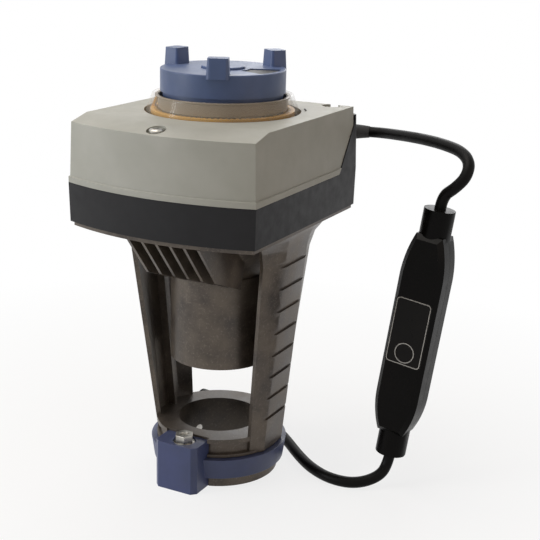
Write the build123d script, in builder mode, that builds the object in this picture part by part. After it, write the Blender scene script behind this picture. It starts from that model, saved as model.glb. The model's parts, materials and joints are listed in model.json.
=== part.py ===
# Electric valve actuator with a hand knob and an in-line push-button controller.
#
# The row frame: origin on the stem axis at the underside of the neck ring, +Z up,
# -Y towards the curved front of the housing. All sizes are in millimetres.

import os
from math import acos, cos, pi, radians, sin, tan

from build123d import *

os.makedirs("parts", exist_ok=True)

# Running clearances
RUN_GAP = 0.05
SLIP_GAP = 0.3
LOOSE_GAP = 0.5

# Heights
NECK_TOP = 32.4
FLANGE_THICKNESS = 2.6
BASE_BOTTOM = 168.1
PARTING = 191.4
COVER_TOP = 230.4
KNOB_BOTTOM = 241.8

# Housing plan
HALF_WIDTH = 62.0
FRONT_CORNER = 71.0
FRONT_BULGE = 11.0
REAR = 66.0
WALL = 3.0
BASE_SCREW_SPOTS = ((-44.0, -40.0), (44.0, -40.0), (-44.0, 44.0), (44.0, 44.0))
BASE_SCREW_SHANK = 2.0
DRAFT = 2.0

# Neck ring
NECK_BORE = 26.3
NECK_OUTER = 40.0
NECK_COLLAR = 38.0
NECK_PANEL_DEPTH = 2.6
NECK_LEDGE = 20.4
PIN_RADIUS = 2.5
PIN_ANGLE = 150.0
PIN_HEIGHT = 12.0

# Clamp
BAND_THICKNESS = 5.6
BAND_BOTTOM = 7.0
BAND_TOP = 20.0
BAND_SLOPE = 1.8
BLOCK_LEFT = 16.5
BLOCK_RIGHT = 13.0
BLOCK_NOSE = 3.0
BLOCK_FRONT = 52.0
CLAMP_FLAT = 35.0
BLOCK_TOP = 31.0
BOLT_Y = -43.0
BOLT_RADIUS = 3.0
BOLT_HEAD = 5.2
BOLT_HEAD_HEIGHT = 5.0
BOLT_SEAT = 29.0
NUT_HEIGHT = 5.0
NUT_LOWER_FACE = 2.0
WASHER_RADIUS = 6.4
WASHER_THICKNESS = 1.4

# Yoke legs
LEG_FOOT = 20.4
LEG_SHOULDER = 146.0
LEG_WALL = 3.0
GROOVE_PITCH = 14.4
GROOVE_FIRST = 44.5
GROOVE_COUNT = 8
GROOVE_DEPTH = 1.5
GROOVE_WIDTH = 2.2

# Skirt and boss
SKIRT_RADIUS = 31.3
SKIRT_WALL = 3.0
SKIRT_BOTTOM = 75.0
SKIRT_TOP = 132.0
SKIRT_ROOF = 4.0
BOSS_RADIUS = 21.0
BOWL_TOP_RADIUS = 56.0
BOWL_WALL = 3.0
FIN_COUNT = 6
FIN_PITCH = 9.3
FIN_FIRST = -16.3
FIN_THICKNESS = 1.8
FIN_TOP_REACH = 78.0
FIN_FOOT_REACH = 58.0
FIN_FOOT = 141.0

# Stem
STEM_RADIUS = 6.0
STEM_FLAT = 5.0
STEM_TOP = 222.0
STEM_FLAT_TOP = 194.0
COUPLING_RADIUS = 14.0
COUPLING_BOTTOM = 84.0
COUPLING_TOP = 112.0
SOCKET_RADIUS = 5.0
SOCKET_DEPTH = 16.0
GUIDE_TOP = 150.0
GUIDE_RADIUS = 10.0

# Drive
BEARING_BORE = 12.0
BEARING_OUTER = 18.0
BEARING_HEIGHT = 8.0
NUT_UPPER_HUB = 10.6
NUT_TOP = 214.0
NUT_NECK = 8.4
DRIVE_GEAR_BOTTOM = 174.0
DRIVE_GEAR_HEIGHT = 8.0
PLATE_BOTTOM = 198.0
PLATE_THICKNESS = 2.0
TAKEOFF_BOTTOM = 205.0
TAKEOFF_HEIGHT = 4.0
IDLER_ANGLE = 210.0
MOTOR_ANGLE = 255.0
RING_DRIVE_ANGLE = 62.0
AXLE_RADIUS = 2.0

# Gears: module and tooth counts
MODULE = 1.0
FINE_MODULE = 0.8
DRIVE_TEETH = 48
IDLER_PINION_TEETH = 12
IDLER_WHEEL_TEETH = 45
MOTOR_PINION_TEETH = 12
TAKEOFF_TEETH = 20
RING_WHEEL_TEETH = 50
RING_PINION_TEETH = 10
RING_TEETH = 80
BACKLASH = 0.2
PRESSURE_ANGLE = radians(25)
FINE_STEPS = 3
COARSE_STEPS = 2

# Motor
MOTOR_RADIUS = 17.5
MOTOR_HEIGHT = 19.0
MOTOR_SCREW = 1.5

# Dial, lens and knob
DIAL_HOLE = 47.0
LENS_TOP = 240.4
LENS_TOP_RADIUS = 42.5
LENS_FOOT_RADIUS = 46.0
LENS_FLANGE = 51.0
LENS_WALL = 1.8
COVER_ROOF = 3.0
RING_BOTTOM = 226.9
RING_HEIGHT = 4.4
RING_OUTER = 43.2
POINTER_TOP = 238.2
POINTER_ANGLE = 196.0
KNOB_RADIUS = 37.5
KNOB_TOP = 255.3
KNOB_NUB_TOP = 265.0
KNOB_NUB_REACH = 34.3
KNOB_ANGLES = (-65.0, 55.0, 175.0)
KNOB_EDGE = 0.7
NUB_DEPTH = 9.9
NUB_WIDTH = 12.0
NUB_CORNER = 1.8
NUB_TAPER = 3.5
NUB_OVERLAP = 2.2
KNOB_CAP_RADIUS = 13.0
KNOB_SHAFT = 10.5
KNOB_SHAFT_BORE = 8.9
DIAL_PLATE_BOTTOM = 219.0
DIAL_PLATE_THICKNESS = 2.0

# Cable and in-line controller
CORD_RADIUS = 3.5
ENTRY_X = 42.0
ENTRY_Z = 209.0
ENTRY_FACE = 72.0
CONTROLLER_AT = (119.4, 29.0, 101.0)
CONTROLLER_AXIS = (0.118, 0.0605, 0.9912)
CONTROLLER_FACE = (-0.05, -0.9965, 0.067)
CONTROLLER_LENGTH = 158.0
CONTROLLER_HALF = 14.0
CONTROLLER_DEPTH = 22.0
CONTROLLER_WALL = 2.2
COLLAR_RADIUS = 9.5
COLLAR_LENGTH = 15.5
LABEL_WIDTH = 23.5
LABEL_LENGTH = 42.3
LABEL_DROP = 3.0
BUTTON_RADIUS = 5.6
BUTTON_DROP = -10.0
BUTTON_TRAVEL = 0.6
PLUG_RADIUS = 7.0
PLUG_LENGTH = 36.0


def housing_outline(inset=0.0):
    """Plan of the housing: straight sides and rear, and one shallow arc across the front."""
    side = HALF_WIDTH - inset
    corner = -(FRONT_CORNER - inset)
    crown = -(FRONT_CORNER + FRONT_BULGE - inset)
    back = REAR - inset
    with BuildSketch(Plane.XY) as plan:
        with BuildLine():
            ThreePointArc((-side, corner), (0, crown), (side, corner))
            Polyline((side, corner), (side, back), (-side, back), (-side, corner))
        make_face()
        fillet(plan.vertices().sort_by(Axis.Y)[-2:], radius=6.0 - min(inset, 3.0))
    return plan.sketch


def placed(sketch, height):
    """The same sketch, moved up to a height."""
    return Plane.XY.offset(height) * sketch


def involute(radius, base):
    """Angle in radians between the base circle and a point of its involute."""
    ratio = max(radius / base, 1.0)
    return (ratio**2 - 1) ** 0.5 - acos(1 / ratio)


def gear_outline(teeth, module, steps, internal=False):
    """Closed list of points round involute teeth, thinned by the backlash.

    An internal outline is the hole of a ring gear: its teeth are the ring's gaps.
    """
    pitch = teeth * module / 2
    base = pitch * cos(PRESSURE_ANGLE)
    tip = pitch + (1.1 if internal else 0.9) * module
    root = pitch - (0.75 if internal else 1.15) * module
    slack = BACKLASH / 2 / pitch * (1 if internal else -1)
    half = pi / (2 * teeth) + slack + involute(pitch, base)
    start = max(root, base)
    flank = [start + (tip - start) * step / (steps - 1) for step in range(steps)]
    profile = [(radius, half - involute(radius, base)) for radius in flank]
    if root < base:
        profile.insert(0, (root, profile[0][1]))
    points = []
    for index in range(teeth):
        middle = 2 * pi * index / teeth
        for radius, shift in profile:
            points.append((radius * cos(middle - shift), radius * sin(middle - shift)))
        for radius, shift in reversed(profile):
            points.append((radius * cos(middle + shift), radius * sin(middle + shift)))
    return points


def polar(distance, angle):
    """Plan point at a distance and an angle in degrees."""
    return (distance * cos(radians(angle)), distance * sin(radians(angle)))


def save(builder, name):
    """Label one finished piece and write it as its own file."""
    builder.part.label = name
    export_step(builder.part, f"parts/{name}.step")


# Values worked out from the driving sizes
FLANGE_BOTTOM = BASE_BOTTOM - FLANGE_THICKNESS
BEARING_BOTTOM = FLANGE_BOTTOM - BEARING_HEIGHT + FLANGE_THICKNESS
BASE_FLOOR_TOP = BASE_BOTTOM + WALL
IDLER_REACH = MODULE * (DRIVE_TEETH + IDLER_PINION_TEETH) / 2
MOTOR_REACH = FINE_MODULE * (IDLER_WHEEL_TEETH + MOTOR_PINION_TEETH) / 2
RING_DRIVE_REACH = MODULE * (RING_TEETH - RING_PINION_TEETH) / 2
IDLER_X, IDLER_Y = polar(IDLER_REACH, IDLER_ANGLE)
MOTOR_X = IDLER_X + polar(MOTOR_REACH, MOTOR_ANGLE)[0]
MOTOR_Y = IDLER_Y + polar(MOTOR_REACH, MOTOR_ANGLE)[1]
MOTOR_EARS = [
    (MOTOR_X + dx, MOTOR_Y + dy)
    for dx, dy in (polar(MOTOR_RADIUS + 3.0, 150), polar(MOTOR_RADIUS + 3.0, -30))
]
RING_DRIVE_X, RING_DRIVE_Y = polar(RING_DRIVE_REACH, RING_DRIVE_ANGLE)
IDLER_WHEEL_BOTTOM = DRIVE_GEAR_BOTTOM + DRIVE_GEAR_HEIGHT + 2.0
IDLER_WHEEL_HEIGHT = 5.0
PLATE_TOP = PLATE_BOTTOM + PLATE_THICKNESS
RING_DRIVE_WHEEL_BOTTOM = TAKEOFF_BOTTOM
RING_PINION_TOP = RING_BOTTOM + 3.6


PIN_END = NECK_COLLAR - 1.0
PIN_AXIS = Plane((0, 0, PIN_HEIGHT), x_dir=(-sin(radians(PIN_ANGLE)), cos(radians(PIN_ANGLE)), 0),
                 z_dir=(cos(radians(PIN_ANGLE)), sin(radians(PIN_ANGLE)), 0))


# Yoke bracket: neck ring, two channel legs, flange, bowl with fins, skirt and boss
def leg_section(level):
    """Channel section of one leg at a height, as a closed list of plan points."""
    share = (level - 26.0) / (LEG_SHOULDER - 26.0)
    lip = 34.0 + 12.0 * share
    face = 40.0 + 12.0 * share
    reach = 20.5 + 10.5 * share
    half_face = 12.0 + 1.0 * share
    return channel(lip, face, reach, half_face)


def channel(lip, face, reach, half_face):
    """Eight corners of a channel that opens towards the stem."""
    inner_lip = lip - 0.9 * LEG_WALL
    return [
        (lip, -reach),
        (face, -half_face),
        (face, half_face),
        (lip, reach),
        (inner_lip, reach - 0.4 * LEG_WALL),
        (face - LEG_WALL, half_face - 0.5 * LEG_WALL),
        (face - LEG_WALL, -half_face + 0.5 * LEG_WALL),
        (inner_lip, -reach + 0.4 * LEG_WALL),
    ]


def flare_section(share):
    """Section of the flare between the leg shoulder and the flange, share 0 to 1."""
    ease = 1 - (1 - share**2) ** 0.5 if share < 1 else 1.0
    lip = 46.0 + 12.0 * ease + 0.5 * share
    face = 52.0 + 7.6 * ease + 0.4 * share
    reach = 31.0 + 30.0 * ease + 2.0 * share
    return channel(lip, face, reach, 13.0 + 2.0 * share)


with BuildPart() as leg:
    for level in (LEG_FOOT, LEG_SHOULDER):
        with BuildSketch(Plane.XY.offset(level)):
            with BuildLine():
                Polyline(*leg_section(level), close=True)
            make_face()
    loft(ruled=True)
    for index in range(GROOVE_COUNT):
        level = GROOVE_FIRST + index * GROOVE_PITCH
        depth_at = 40.0 + 12.0 * (level - 26.0) / (LEG_SHOULDER - 26.0)
        with BuildSketch(Plane.XZ):
            with BuildLine():
                Polyline(
                    (depth_at - GROOVE_DEPTH, level - GROOVE_WIDTH),
                    (depth_at + 4, level - GROOVE_WIDTH - 1.2),
                    (depth_at + 4, level),
                    (depth_at - GROOVE_DEPTH + 0.3, level),
                    close=True,
                )
            make_face()
        extrude(amount=40, both=True, mode=Mode.SUBTRACT)

FLARE_SHARES = (0.0, 0.45, 0.75, 0.92, 1.0)

with BuildPart() as flare:
    for share in FLARE_SHARES:
        level = LEG_SHOULDER + share * (FLANGE_BOTTOM - LEG_SHOULDER)
        with BuildSketch(Plane.XY.offset(level)):
            with BuildLine():
                Polyline(*flare_section(share), close=True)
            make_face()
    loft(ruled=True)

with BuildPart() as leg_rib:
    with BuildSketch(Plane.XZ):
        with BuildLine():
            Polyline(
                (31.5, LEG_FOOT),
                (38.5, LEG_FOOT),
                (50.5, LEG_SHOULDER),
                (55.5, FLANGE_BOTTOM),
                (47.0, FLANGE_BOTTOM),
                (43.5, LEG_SHOULDER),
                close=True,
            )
        make_face()
    extrude(amount=1.4, both=True)

with BuildPart() as fin:
    with BuildSketch(Plane.YZ):
        with BuildLine():
            Polyline(
                (-SKIRT_RADIUS + 1.0, SKIRT_TOP - SKIRT_ROOF / 2),
                (-FIN_FOOT_REACH, FIN_FOOT),
                (-FIN_TOP_REACH, FLANGE_BOTTOM),
                (-BOSS_RADIUS, FLANGE_BOTTOM),
                close=True,
            )
        make_face()
    extrude(amount=FIN_THICKNESS / 2, both=True)

with BuildPart() as casting:
    # Flange under the housing
    add(placed(housing_outline(2.0), FLANGE_BOTTOM))
    extrude(amount=FLANGE_THICKNESS)
    # Two legs with their flares and inner ribs
    for turn in (0, 180):
        for piece in (leg.part, flare.part, leg_rib.part):
            add(piece.rotate(Axis.Z, turn))
    # Fins under the front and rear edges
    for index in range(FIN_COUNT):
        add(fin.part.moved(Location((FIN_FIRST + index * FIN_PITCH, 0, 0))))
        add(fin.part.mirror(Plane.XZ).moved(Location((FIN_FIRST + index * FIN_PITCH, -14, 0))))
    # Bowl, boss, roof and skirt in one turned profile
    with BuildSketch(Plane.XZ):
        with BuildLine():
            Polyline(
                (GUIDE_RADIUS, SKIRT_TOP - SKIRT_ROOF),
                (SKIRT_RADIUS - SKIRT_WALL, SKIRT_TOP - SKIRT_ROOF),
                (SKIRT_RADIUS - SKIRT_WALL, SKIRT_BOTTOM),
                (SKIRT_RADIUS, SKIRT_BOTTOM),
                (SKIRT_RADIUS, SKIRT_TOP),
                (SKIRT_RADIUS - 0.8, SKIRT_TOP + 0.8),
                (BOWL_TOP_RADIUS, FLANGE_BOTTOM),
                (BOWL_TOP_RADIUS - BOWL_WALL - 2.0, FLANGE_BOTTOM),
                (SKIRT_RADIUS - SKIRT_WALL - 2.0, SKIRT_TOP),
                (BOSS_RADIUS, SKIRT_TOP),
                (BOSS_RADIUS, FLANGE_BOTTOM),
                (GUIDE_RADIUS, FLANGE_BOTTOM),
                close=True,
            )
        make_face()
    revolve(axis=Axis.Z)
    # Lightening pocket of the bowl, open to the top between the boss and the bowl wall
    with BuildSketch(Plane.XY.offset(FLANGE_BOTTOM)):
        Circle(BOWL_TOP_RADIUS - BOWL_WALL - 2.0)
        Circle(BOSS_RADIUS, mode=Mode.SUBTRACT)
    extrude(amount=FLANGE_THICKNESS, mode=Mode.SUBTRACT)
    # Neck ring with its ledge, recessed panels and lower collar
    with BuildSketch(Plane.XZ):
        with BuildLine():
            Polyline(
                (NECK_BORE, 0),
                (NECK_COLLAR, 0),
                (NECK_COLLAR, NECK_LEDGE),
                (NECK_OUTER, NECK_LEDGE),
                (NECK_OUTER, NECK_LEDGE + 1.8),
                (NECK_OUTER - NECK_PANEL_DEPTH, NECK_LEDGE + 2.2),
                (NECK_OUTER - NECK_PANEL_DEPTH, NECK_TOP - 3.4),
                (NECK_OUTER, NECK_TOP - 2.8),
                (NECK_OUTER, NECK_TOP),
                (NECK_BORE, NECK_TOP),
                close=True,
            )
        make_face()
    revolve(axis=Axis.Z)
    # Ribs that divide the recessed panels
    with BuildSketch(Plane.XY.offset(NECK_LEDGE + 1.8)):
        with PolarLocations(NECK_OUTER - NECK_PANEL_DEPTH - 0.2, 4, start_angle=60, angular_range=60):
            Rectangle(2 * NECK_PANEL_DEPTH, 3.0)
        with PolarLocations(NECK_OUTER - NECK_PANEL_DEPTH - 0.2, 4, start_angle=240, angular_range=60):
            Rectangle(2 * NECK_PANEL_DEPTH, 3.0)
    extrude(amount=NECK_TOP - NECK_LEDGE - 4.6)
    # Bearing seat, guide seat and clear holes
    with BuildSketch(Plane.XY.offset(BEARING_BOTTOM)):
        Circle(BEARING_OUTER)
    extrude(amount=BASE_BOTTOM - BEARING_BOTTOM, mode=Mode.SUBTRACT)
    with BuildSketch(Plane.XY.offset(SKIRT_BOTTOM)):
        Circle(SKIRT_RADIUS - SKIRT_WALL)
    extrude(amount=SKIRT_TOP - SKIRT_ROOF - SKIRT_BOTTOM, mode=Mode.SUBTRACT)
    with BuildSketch(Plane.XY):
        Circle(NECK_BORE)
    extrude(amount=NECK_TOP, mode=Mode.SUBTRACT)
    # Hole for the locating pin
    with BuildSketch(PIN_AXIS.offset(NECK_BORE - 5.0)):
        Circle(PIN_RADIUS)
    extrude(amount=PIN_END - NECK_BORE + 5.0, mode=Mode.SUBTRACT)
    # Flat at the front, where the clamp block bears
    with BuildSketch(Plane.XY):
        with Locations(((BLOCK_RIGHT - BLOCK_LEFT) / 2, -CLAMP_FLAT - 10.0)):
            Rectangle(BLOCK_RIGHT + BLOCK_LEFT + 2 * SLIP_GAP, 20.0)
    extrude(amount=NECK_TOP, mode=Mode.SUBTRACT)
    # Holes for the screws that hold the base
    with BuildSketch(Plane.XY.offset(FLANGE_BOTTOM)):
        with Locations(*BASE_SCREW_SPOTS):
            Circle(BASE_SCREW_SHANK)
    extrude(amount=FLANGE_THICKNESS, mode=Mode.SUBTRACT)

# The casting is one piece of metal, kept as four nodes that meet face to face: the neck
# ring with the leg feet, the two legs, the skirt round the stem, and the head under the housing
CUT_SPAN = 300.0
FOOT_CUT = NECK_TOP + 1.6
HEAD_CUT = SKIRT_TOP - 6.0


def slice_of(piece, low, high):
    """The part of a piece between two heights."""
    with BuildPart() as cut:
        add(piece.part)
        with BuildSketch(Plane.XY.offset(high)):
            Rectangle(CUT_SPAN, CUT_SPAN)
        extrude(amount=CUT_SPAN, mode=Mode.SUBTRACT)
        with BuildSketch(Plane.XY.offset(low)):
            Rectangle(CUT_SPAN, CUT_SPAN)
        extrude(amount=-CUT_SPAN, mode=Mode.SUBTRACT)
    return cut


neck_ring = slice_of(casting, -CUT_SPAN, FOOT_CUT)
save(neck_ring, "neck_ring")

with BuildPart() as both_legs:
    for turn in (0, 180):
        for piece in (leg.part, leg_rib.part):
            add(piece.rotate(Axis.Z, turn))
yoke_legs = slice_of(both_legs, FOOT_CUT, HEAD_CUT)
save(yoke_legs, "yoke_legs")

with BuildPart() as stem_skirt:
    with BuildSketch(Plane.XY.offset(SKIRT_BOTTOM)):
        Circle(SKIRT_RADIUS)
        Circle(SKIRT_RADIUS - SKIRT_WALL, mode=Mode.SUBTRACT)
    extrude(amount=HEAD_CUT - SKIRT_BOTTOM)
save(stem_skirt, "stem_skirt")

yoke_bracket = slice_of(casting, HEAD_CUT, CUT_SPAN)
save(yoke_bracket, "yoke_bracket")


# Housing base: tub with a tall rear wall that carries the cable entries
SLANT_FOOT = (36.5, PARTING)
SLANT_HEAD = (59.8, 221.0)
REAR_TOP = 225.0
CUT_REACH = 120.0
CUT_TOP = 260.0
FLOOR_HOLE = BEARING_OUTER
ENTRY_RADIUS = 8.2
ENTRY_SPOTS = (ENTRY_X, 0.0, -ENTRY_X)
PILLAR_SPOTS = ((-48.0, 4.0), (48.0, -12.0), (30.0, -44.0), (-34.0, 41.0))
PILLAR_RADIUS = 3.5
POST_TOP = PARTING + 24.0
COVER_SCREW_SPOTS = ((0.0, -73.0), (47.0, 53.0), (-47.0, 53.0))


def parting_cut():
    """Block above the parting line."""
    with BuildSketch(Plane.YZ) as above:
        with BuildLine():
            Polyline(
                (-CUT_REACH, SLANT_FOOT[1]),
                (SLANT_FOOT[0], SLANT_FOOT[1]),
                (SLANT_HEAD[0], SLANT_HEAD[1]),
                (SLANT_HEAD[0], CUT_TOP),
                (-CUT_REACH, CUT_TOP),
                close=True,
            )
        make_face()
    return extrude(above.sketch, amount=CUT_REACH, both=True)


def rear_cut():
    """Block behind the slanted line."""
    with BuildSketch(Plane.YZ) as behind:
        with BuildLine():
            Polyline(
                (SLANT_FOOT[0], PARTING - 20.0),
                (SLANT_FOOT[0], SLANT_FOOT[1]),
                (SLANT_HEAD[0], SLANT_HEAD[1]),
                (SLANT_HEAD[0], CUT_TOP),
                (CUT_REACH, CUT_TOP),
                (CUT_REACH, PARTING - 20.0),
                close=True,
            )
        make_face()
    return extrude(behind.sketch, amount=CUT_REACH, both=True)


with BuildPart() as housing_base:
    add(placed(housing_outline(), PARTING))
    extrude(amount=-(PARTING - BASE_BOTTOM), taper=1.2)
    add(placed(housing_outline(), PARTING))
    extrude(amount=REAR_TOP - PARTING, taper=DRAFT)
    # Inside of the tub
    add(placed(housing_outline(WALL + 0.6), BASE_FLOOR_TOP))
    extrude(amount=REAR_TOP - WALL - BASE_FLOOR_TOP, taper=1.0, mode=Mode.SUBTRACT)
    add(parting_cut(), mode=Mode.SUBTRACT)
    # Pads under the gear plate, bosses for the base screws and the motor side
    with BuildSketch(Plane.XY.offset(BASE_FLOOR_TOP - 1)):
        with Locations(*BASE_SCREW_SPOTS):
            Circle(5.0)
    extrude(amount=4.0)
    with BuildSketch(Plane.XY.offset(BASE_FLOOR_TOP - 1)):
        with Locations(*PILLAR_SPOTS):
            Circle(PILLAR_RADIUS + 1.5)
    extrude(amount=3.0)
    # Posts that take the cover screws
    with BuildSketch(Plane.XY.offset(BASE_FLOOR_TOP - 1)):
        with Locations(COVER_SCREW_SPOTS[0]):
            Circle(4.2)
    extrude(amount=POST_TOP - BASE_FLOOR_TOP)
    with BuildSketch(Plane.XY.offset(BASE_FLOOR_TOP - 1)):
        with Locations(*COVER_SCREW_SPOTS[1:]):
            Circle(4.2)
    extrude(amount=POST_TOP - BASE_FLOOR_TOP)
    # Screw and pillar holes
    with BuildSketch(Plane.XY.offset(BASE_BOTTOM)):
        Circle(FLOOR_HOLE)
        with Locations(*BASE_SCREW_SPOTS):
            Circle(2.1)
        with Locations(*PILLAR_SPOTS):
            Circle(1.6)
    extrude(amount=12.0, mode=Mode.SUBTRACT)
    with BuildSketch(Plane.XY.offset(POST_TOP - 12.0)):
        with Locations(*COVER_SCREW_SPOTS):
            Circle(1.6)
    extrude(amount=20.0, mode=Mode.SUBTRACT)
    # Cable entries in the rear wall
    with BuildSketch(Plane.XZ.offset(-REAR - 5)):
        with Locations(*[(x, ENTRY_Z) for x in ENTRY_SPOTS]):
            Circle(ENTRY_RADIUS)
    extrude(amount=14.0, mode=Mode.SUBTRACT)
    # Groove for the seal round the open rim
    with BuildSketch(Plane.XY.offset(PARTING - 1.2)):
        add(housing_outline(1.0))
        add(housing_outline(2.4), mode=Mode.SUBTRACT)
        with Locations((0, 80)):
            Rectangle(200, 2 * (80 - SLANT_FOOT[0] + 3), mode=Mode.SUBTRACT)
    extrude(amount=1.2, mode=Mode.SUBTRACT)
save(housing_base, "housing_base")

with BuildPart() as cover_gasket:
    with BuildSketch(Plane.XY.offset(PARTING - 1.2)):
        add(housing_outline(1.0))
        add(housing_outline(2.4), mode=Mode.SUBTRACT)
        with Locations((0, 80)):
            Rectangle(200, 2 * (80 - SLANT_FOOT[0] + 3), mode=Mode.SUBTRACT)
    extrude(amount=1.2)
save(cover_gasket, "cover_gasket")


# Housing cover: drafted shell with a proud lip, a chamfered front edge and screw pockets
FRONT_CHAMFER_RUN = 10.6
FRONT_CHAMFER_DROP = 3.1
LIP_HEIGHT = 3.6
LIP_PROUD = 0.6
COVER_REAR = 58.0
POCKET_RADIUS = 5.6
POCKET_FLOOR = COVER_TOP - 3.9
SCREW_SHANK = 1.5
SCREW_HEAD = 4.2

with BuildPart() as housing_cover:
    add(placed(housing_outline(LIP_PROUD), PARTING))
    extrude(amount=COVER_TOP - PARTING, taper=DRAFT)
    add(placed(housing_outline(), PARTING))
    extrude(amount=LIP_HEIGHT)
    # Front edge of the roof slopes down to the face
    with BuildSketch(Plane.YZ):
        with BuildLine():
            Polyline(
                (-FRONT_CORNER - FRONT_BULGE - 5, COVER_TOP - FRONT_CHAMFER_DROP - 1.4),
                (-FRONT_CORNER - FRONT_BULGE + FRONT_CHAMFER_RUN + 1.3, COVER_TOP),
                (-FRONT_CORNER - FRONT_BULGE + FRONT_CHAMFER_RUN + 1.3, COVER_TOP + 10),
                (-FRONT_CORNER - FRONT_BULGE - 5, COVER_TOP + 10),
                close=True,
            )
        make_face()
    extrude(amount=HALF_WIDTH + 2, both=True, mode=Mode.SUBTRACT)
    # Inside
    add(placed(housing_outline(WALL), PARTING))
    extrude(amount=COVER_TOP - COVER_ROOF - 1.6 - PARTING, taper=DRAFT, mode=Mode.SUBTRACT)
    # Screw pockets with their sleeves
    with BuildSketch(Plane.XY.offset(POST_TOP + SLIP_GAP)):
        with Locations(*COVER_SCREW_SPOTS):
            Circle(POCKET_RADIUS + 1.6)
    extrude(amount=COVER_TOP - 1.0 - POST_TOP)
    with BuildSketch(Plane.XY.offset(POCKET_FLOOR)):
        with Locations(*COVER_SCREW_SPOTS):
            Circle(POCKET_RADIUS)
    extrude(amount=20.0, mode=Mode.SUBTRACT)
    with BuildSketch(Plane.XY.offset(PARTING)):
        with Locations(*COVER_SCREW_SPOTS):
            Circle(SCREW_SHANK + SLIP_GAP)
    extrude(amount=50.0, mode=Mode.SUBTRACT)
    # Hole for the dial
    with BuildSketch(Plane.XY.offset(PARTING)):
        Circle(DIAL_HOLE)
    extrude(amount=60.0, mode=Mode.SUBTRACT)
    # Open slant at the rear, where the base rises behind the cover
    add(rear_cut(), mode=Mode.SUBTRACT)
    with BuildSketch(Plane.XY.offset(PARTING)):
        with Locations((0, COVER_REAR + 50)):
            Rectangle(200, 100)
    extrude(amount=80.0, mode=Mode.SUBTRACT)
save(housing_cover, "housing_cover")


# Fasteners of the housing
def screw(shank, length, head, head_height):
    """Pan head screw with a cross recess, its seat at z 0, shank down, head up."""
    with BuildPart() as made:
        with BuildSketch(Plane.XY.offset(-length)):
            Circle(shank)
        extrude(amount=length)
        with BuildSketch(Plane.XY):
            Circle(head)
        extrude(amount=head_height)
        chamfer(made.edges().group_by(Axis.Z)[-1], length=0.3 * head_height)
        with BuildSketch(Plane.XY.offset(head_height)):
            Rectangle(1.3 * head, 0.22 * head)
            Rectangle(0.22 * head, 1.3 * head)
        extrude(amount=-0.5 * head_height, mode=Mode.SUBTRACT)
    return made.part


def screw_group(made, spots, height):
    """Copies of one screw at plan points, all seated at one height."""
    with BuildPart() as group:
        for spot in spots:
            add(made.moved(Location((spot[0], spot[1], height))))
    return group


COVER_SCREW_LENGTH = POCKET_FLOOR - POST_TOP + 9.0
cover_screw = screw(SCREW_SHANK, COVER_SCREW_LENGTH, SCREW_HEAD, 2.6)
cover_screws = screw_group(cover_screw, COVER_SCREW_SPOTS, POCKET_FLOOR)
save(cover_screws, "cover_screws")

BASE_PAD_TOP = BASE_FLOOR_TOP + 3.0
base_screw = screw(BASE_SCREW_SHANK, BASE_PAD_TOP - FLANGE_BOTTOM, 3.8, 2.4)
base_screws = screw_group(base_screw, BASE_SCREW_SPOTS, BASE_PAD_TOP)
save(base_screws, "base_screws")


# Dial: lens, dial plate and yellow position ring
LENS_SEAT = COVER_TOP - COVER_ROOF - 1.6
with BuildPart() as indicator_lens:
    with BuildSketch(Plane.XZ):
        with BuildLine():
            Polyline(
                (DIAL_HOLE - 2.4, LENS_SEAT - 2.0),
                (LENS_FLANGE, LENS_SEAT - 2.0),
                (LENS_FLANGE, LENS_SEAT),
                (DIAL_HOLE - LOOSE_GAP, LENS_SEAT),
                (LENS_FOOT_RADIUS, COVER_TOP),
                (LENS_TOP_RADIUS + 0.4, LENS_TOP - 1.6),
            )
            Spline(
                (LENS_TOP_RADIUS + 0.4, LENS_TOP - 1.6),
                (LENS_TOP_RADIUS - 0.4, LENS_TOP),
                (LENS_TOP_RADIUS - 2.6, LENS_TOP - 0.9),
            )
            Polyline(
                (LENS_TOP_RADIUS - 2.6, LENS_TOP - 0.9),
                (LENS_TOP_RADIUS - LENS_WALL + 0.2, LENS_TOP - 2.4),
                (LENS_FOOT_RADIUS - LENS_WALL, COVER_TOP),
                (DIAL_HOLE - 2.4, LENS_SEAT - 2.0),
            )
        make_face()
    revolve(axis=Axis.Z)
save(indicator_lens, "indicator_lens")

DIAL_PLATE_RADIUS = 50.0
DIAL_PLATE_TOP = DIAL_PLATE_BOTTOM + DIAL_PLATE_THICKNESS
RING_PINION_CLEAR = 7.4
with BuildPart() as dial_plate:
    with BuildSketch(Plane.XY.offset(DIAL_PLATE_BOTTOM)):
        Circle(DIAL_PLATE_RADIUS)
        Circle(KNOB_SHAFT + RUN_GAP, mode=Mode.SUBTRACT)
        with Locations((RING_DRIVE_X, RING_DRIVE_Y)):
            Circle(RING_PINION_CLEAR, mode=Mode.SUBTRACT)
    extrude(amount=DIAL_PLATE_THICKNESS)
    # Raised rim that carries the lens flange and the position ring
    with BuildSketch(Plane.XY.offset(DIAL_PLATE_TOP)):
        Circle(DIAL_PLATE_RADIUS)
        Circle(RING_OUTER - 1.2, mode=Mode.SUBTRACT)
    extrude(amount=LENS_SEAT - 2.0 - DIAL_PLATE_TOP)
    with BuildSketch(Plane.XY.offset(DIAL_PLATE_TOP)):
        Circle(KNOB_SHAFT + 1.2)
        Circle(KNOB_SHAFT + RUN_GAP, mode=Mode.SUBTRACT)
    extrude(amount=2.5)
save(dial_plate, "dial_plate")


# Gear plate on four pillars, with the upper bearing
PILLAR_BOTTOM = BASE_FLOOR_TOP + 2.0
with BuildPart() as plate_pillars:
    with BuildSketch(Plane.XY.offset(PILLAR_BOTTOM)):
        with Locations(*PILLAR_SPOTS):
            Circle(PILLAR_RADIUS)
            Circle(1.6, mode=Mode.SUBTRACT)
    extrude(amount=PLATE_BOTTOM - PILLAR_BOTTOM)
save(plate_pillars, "plate_pillars")

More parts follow.
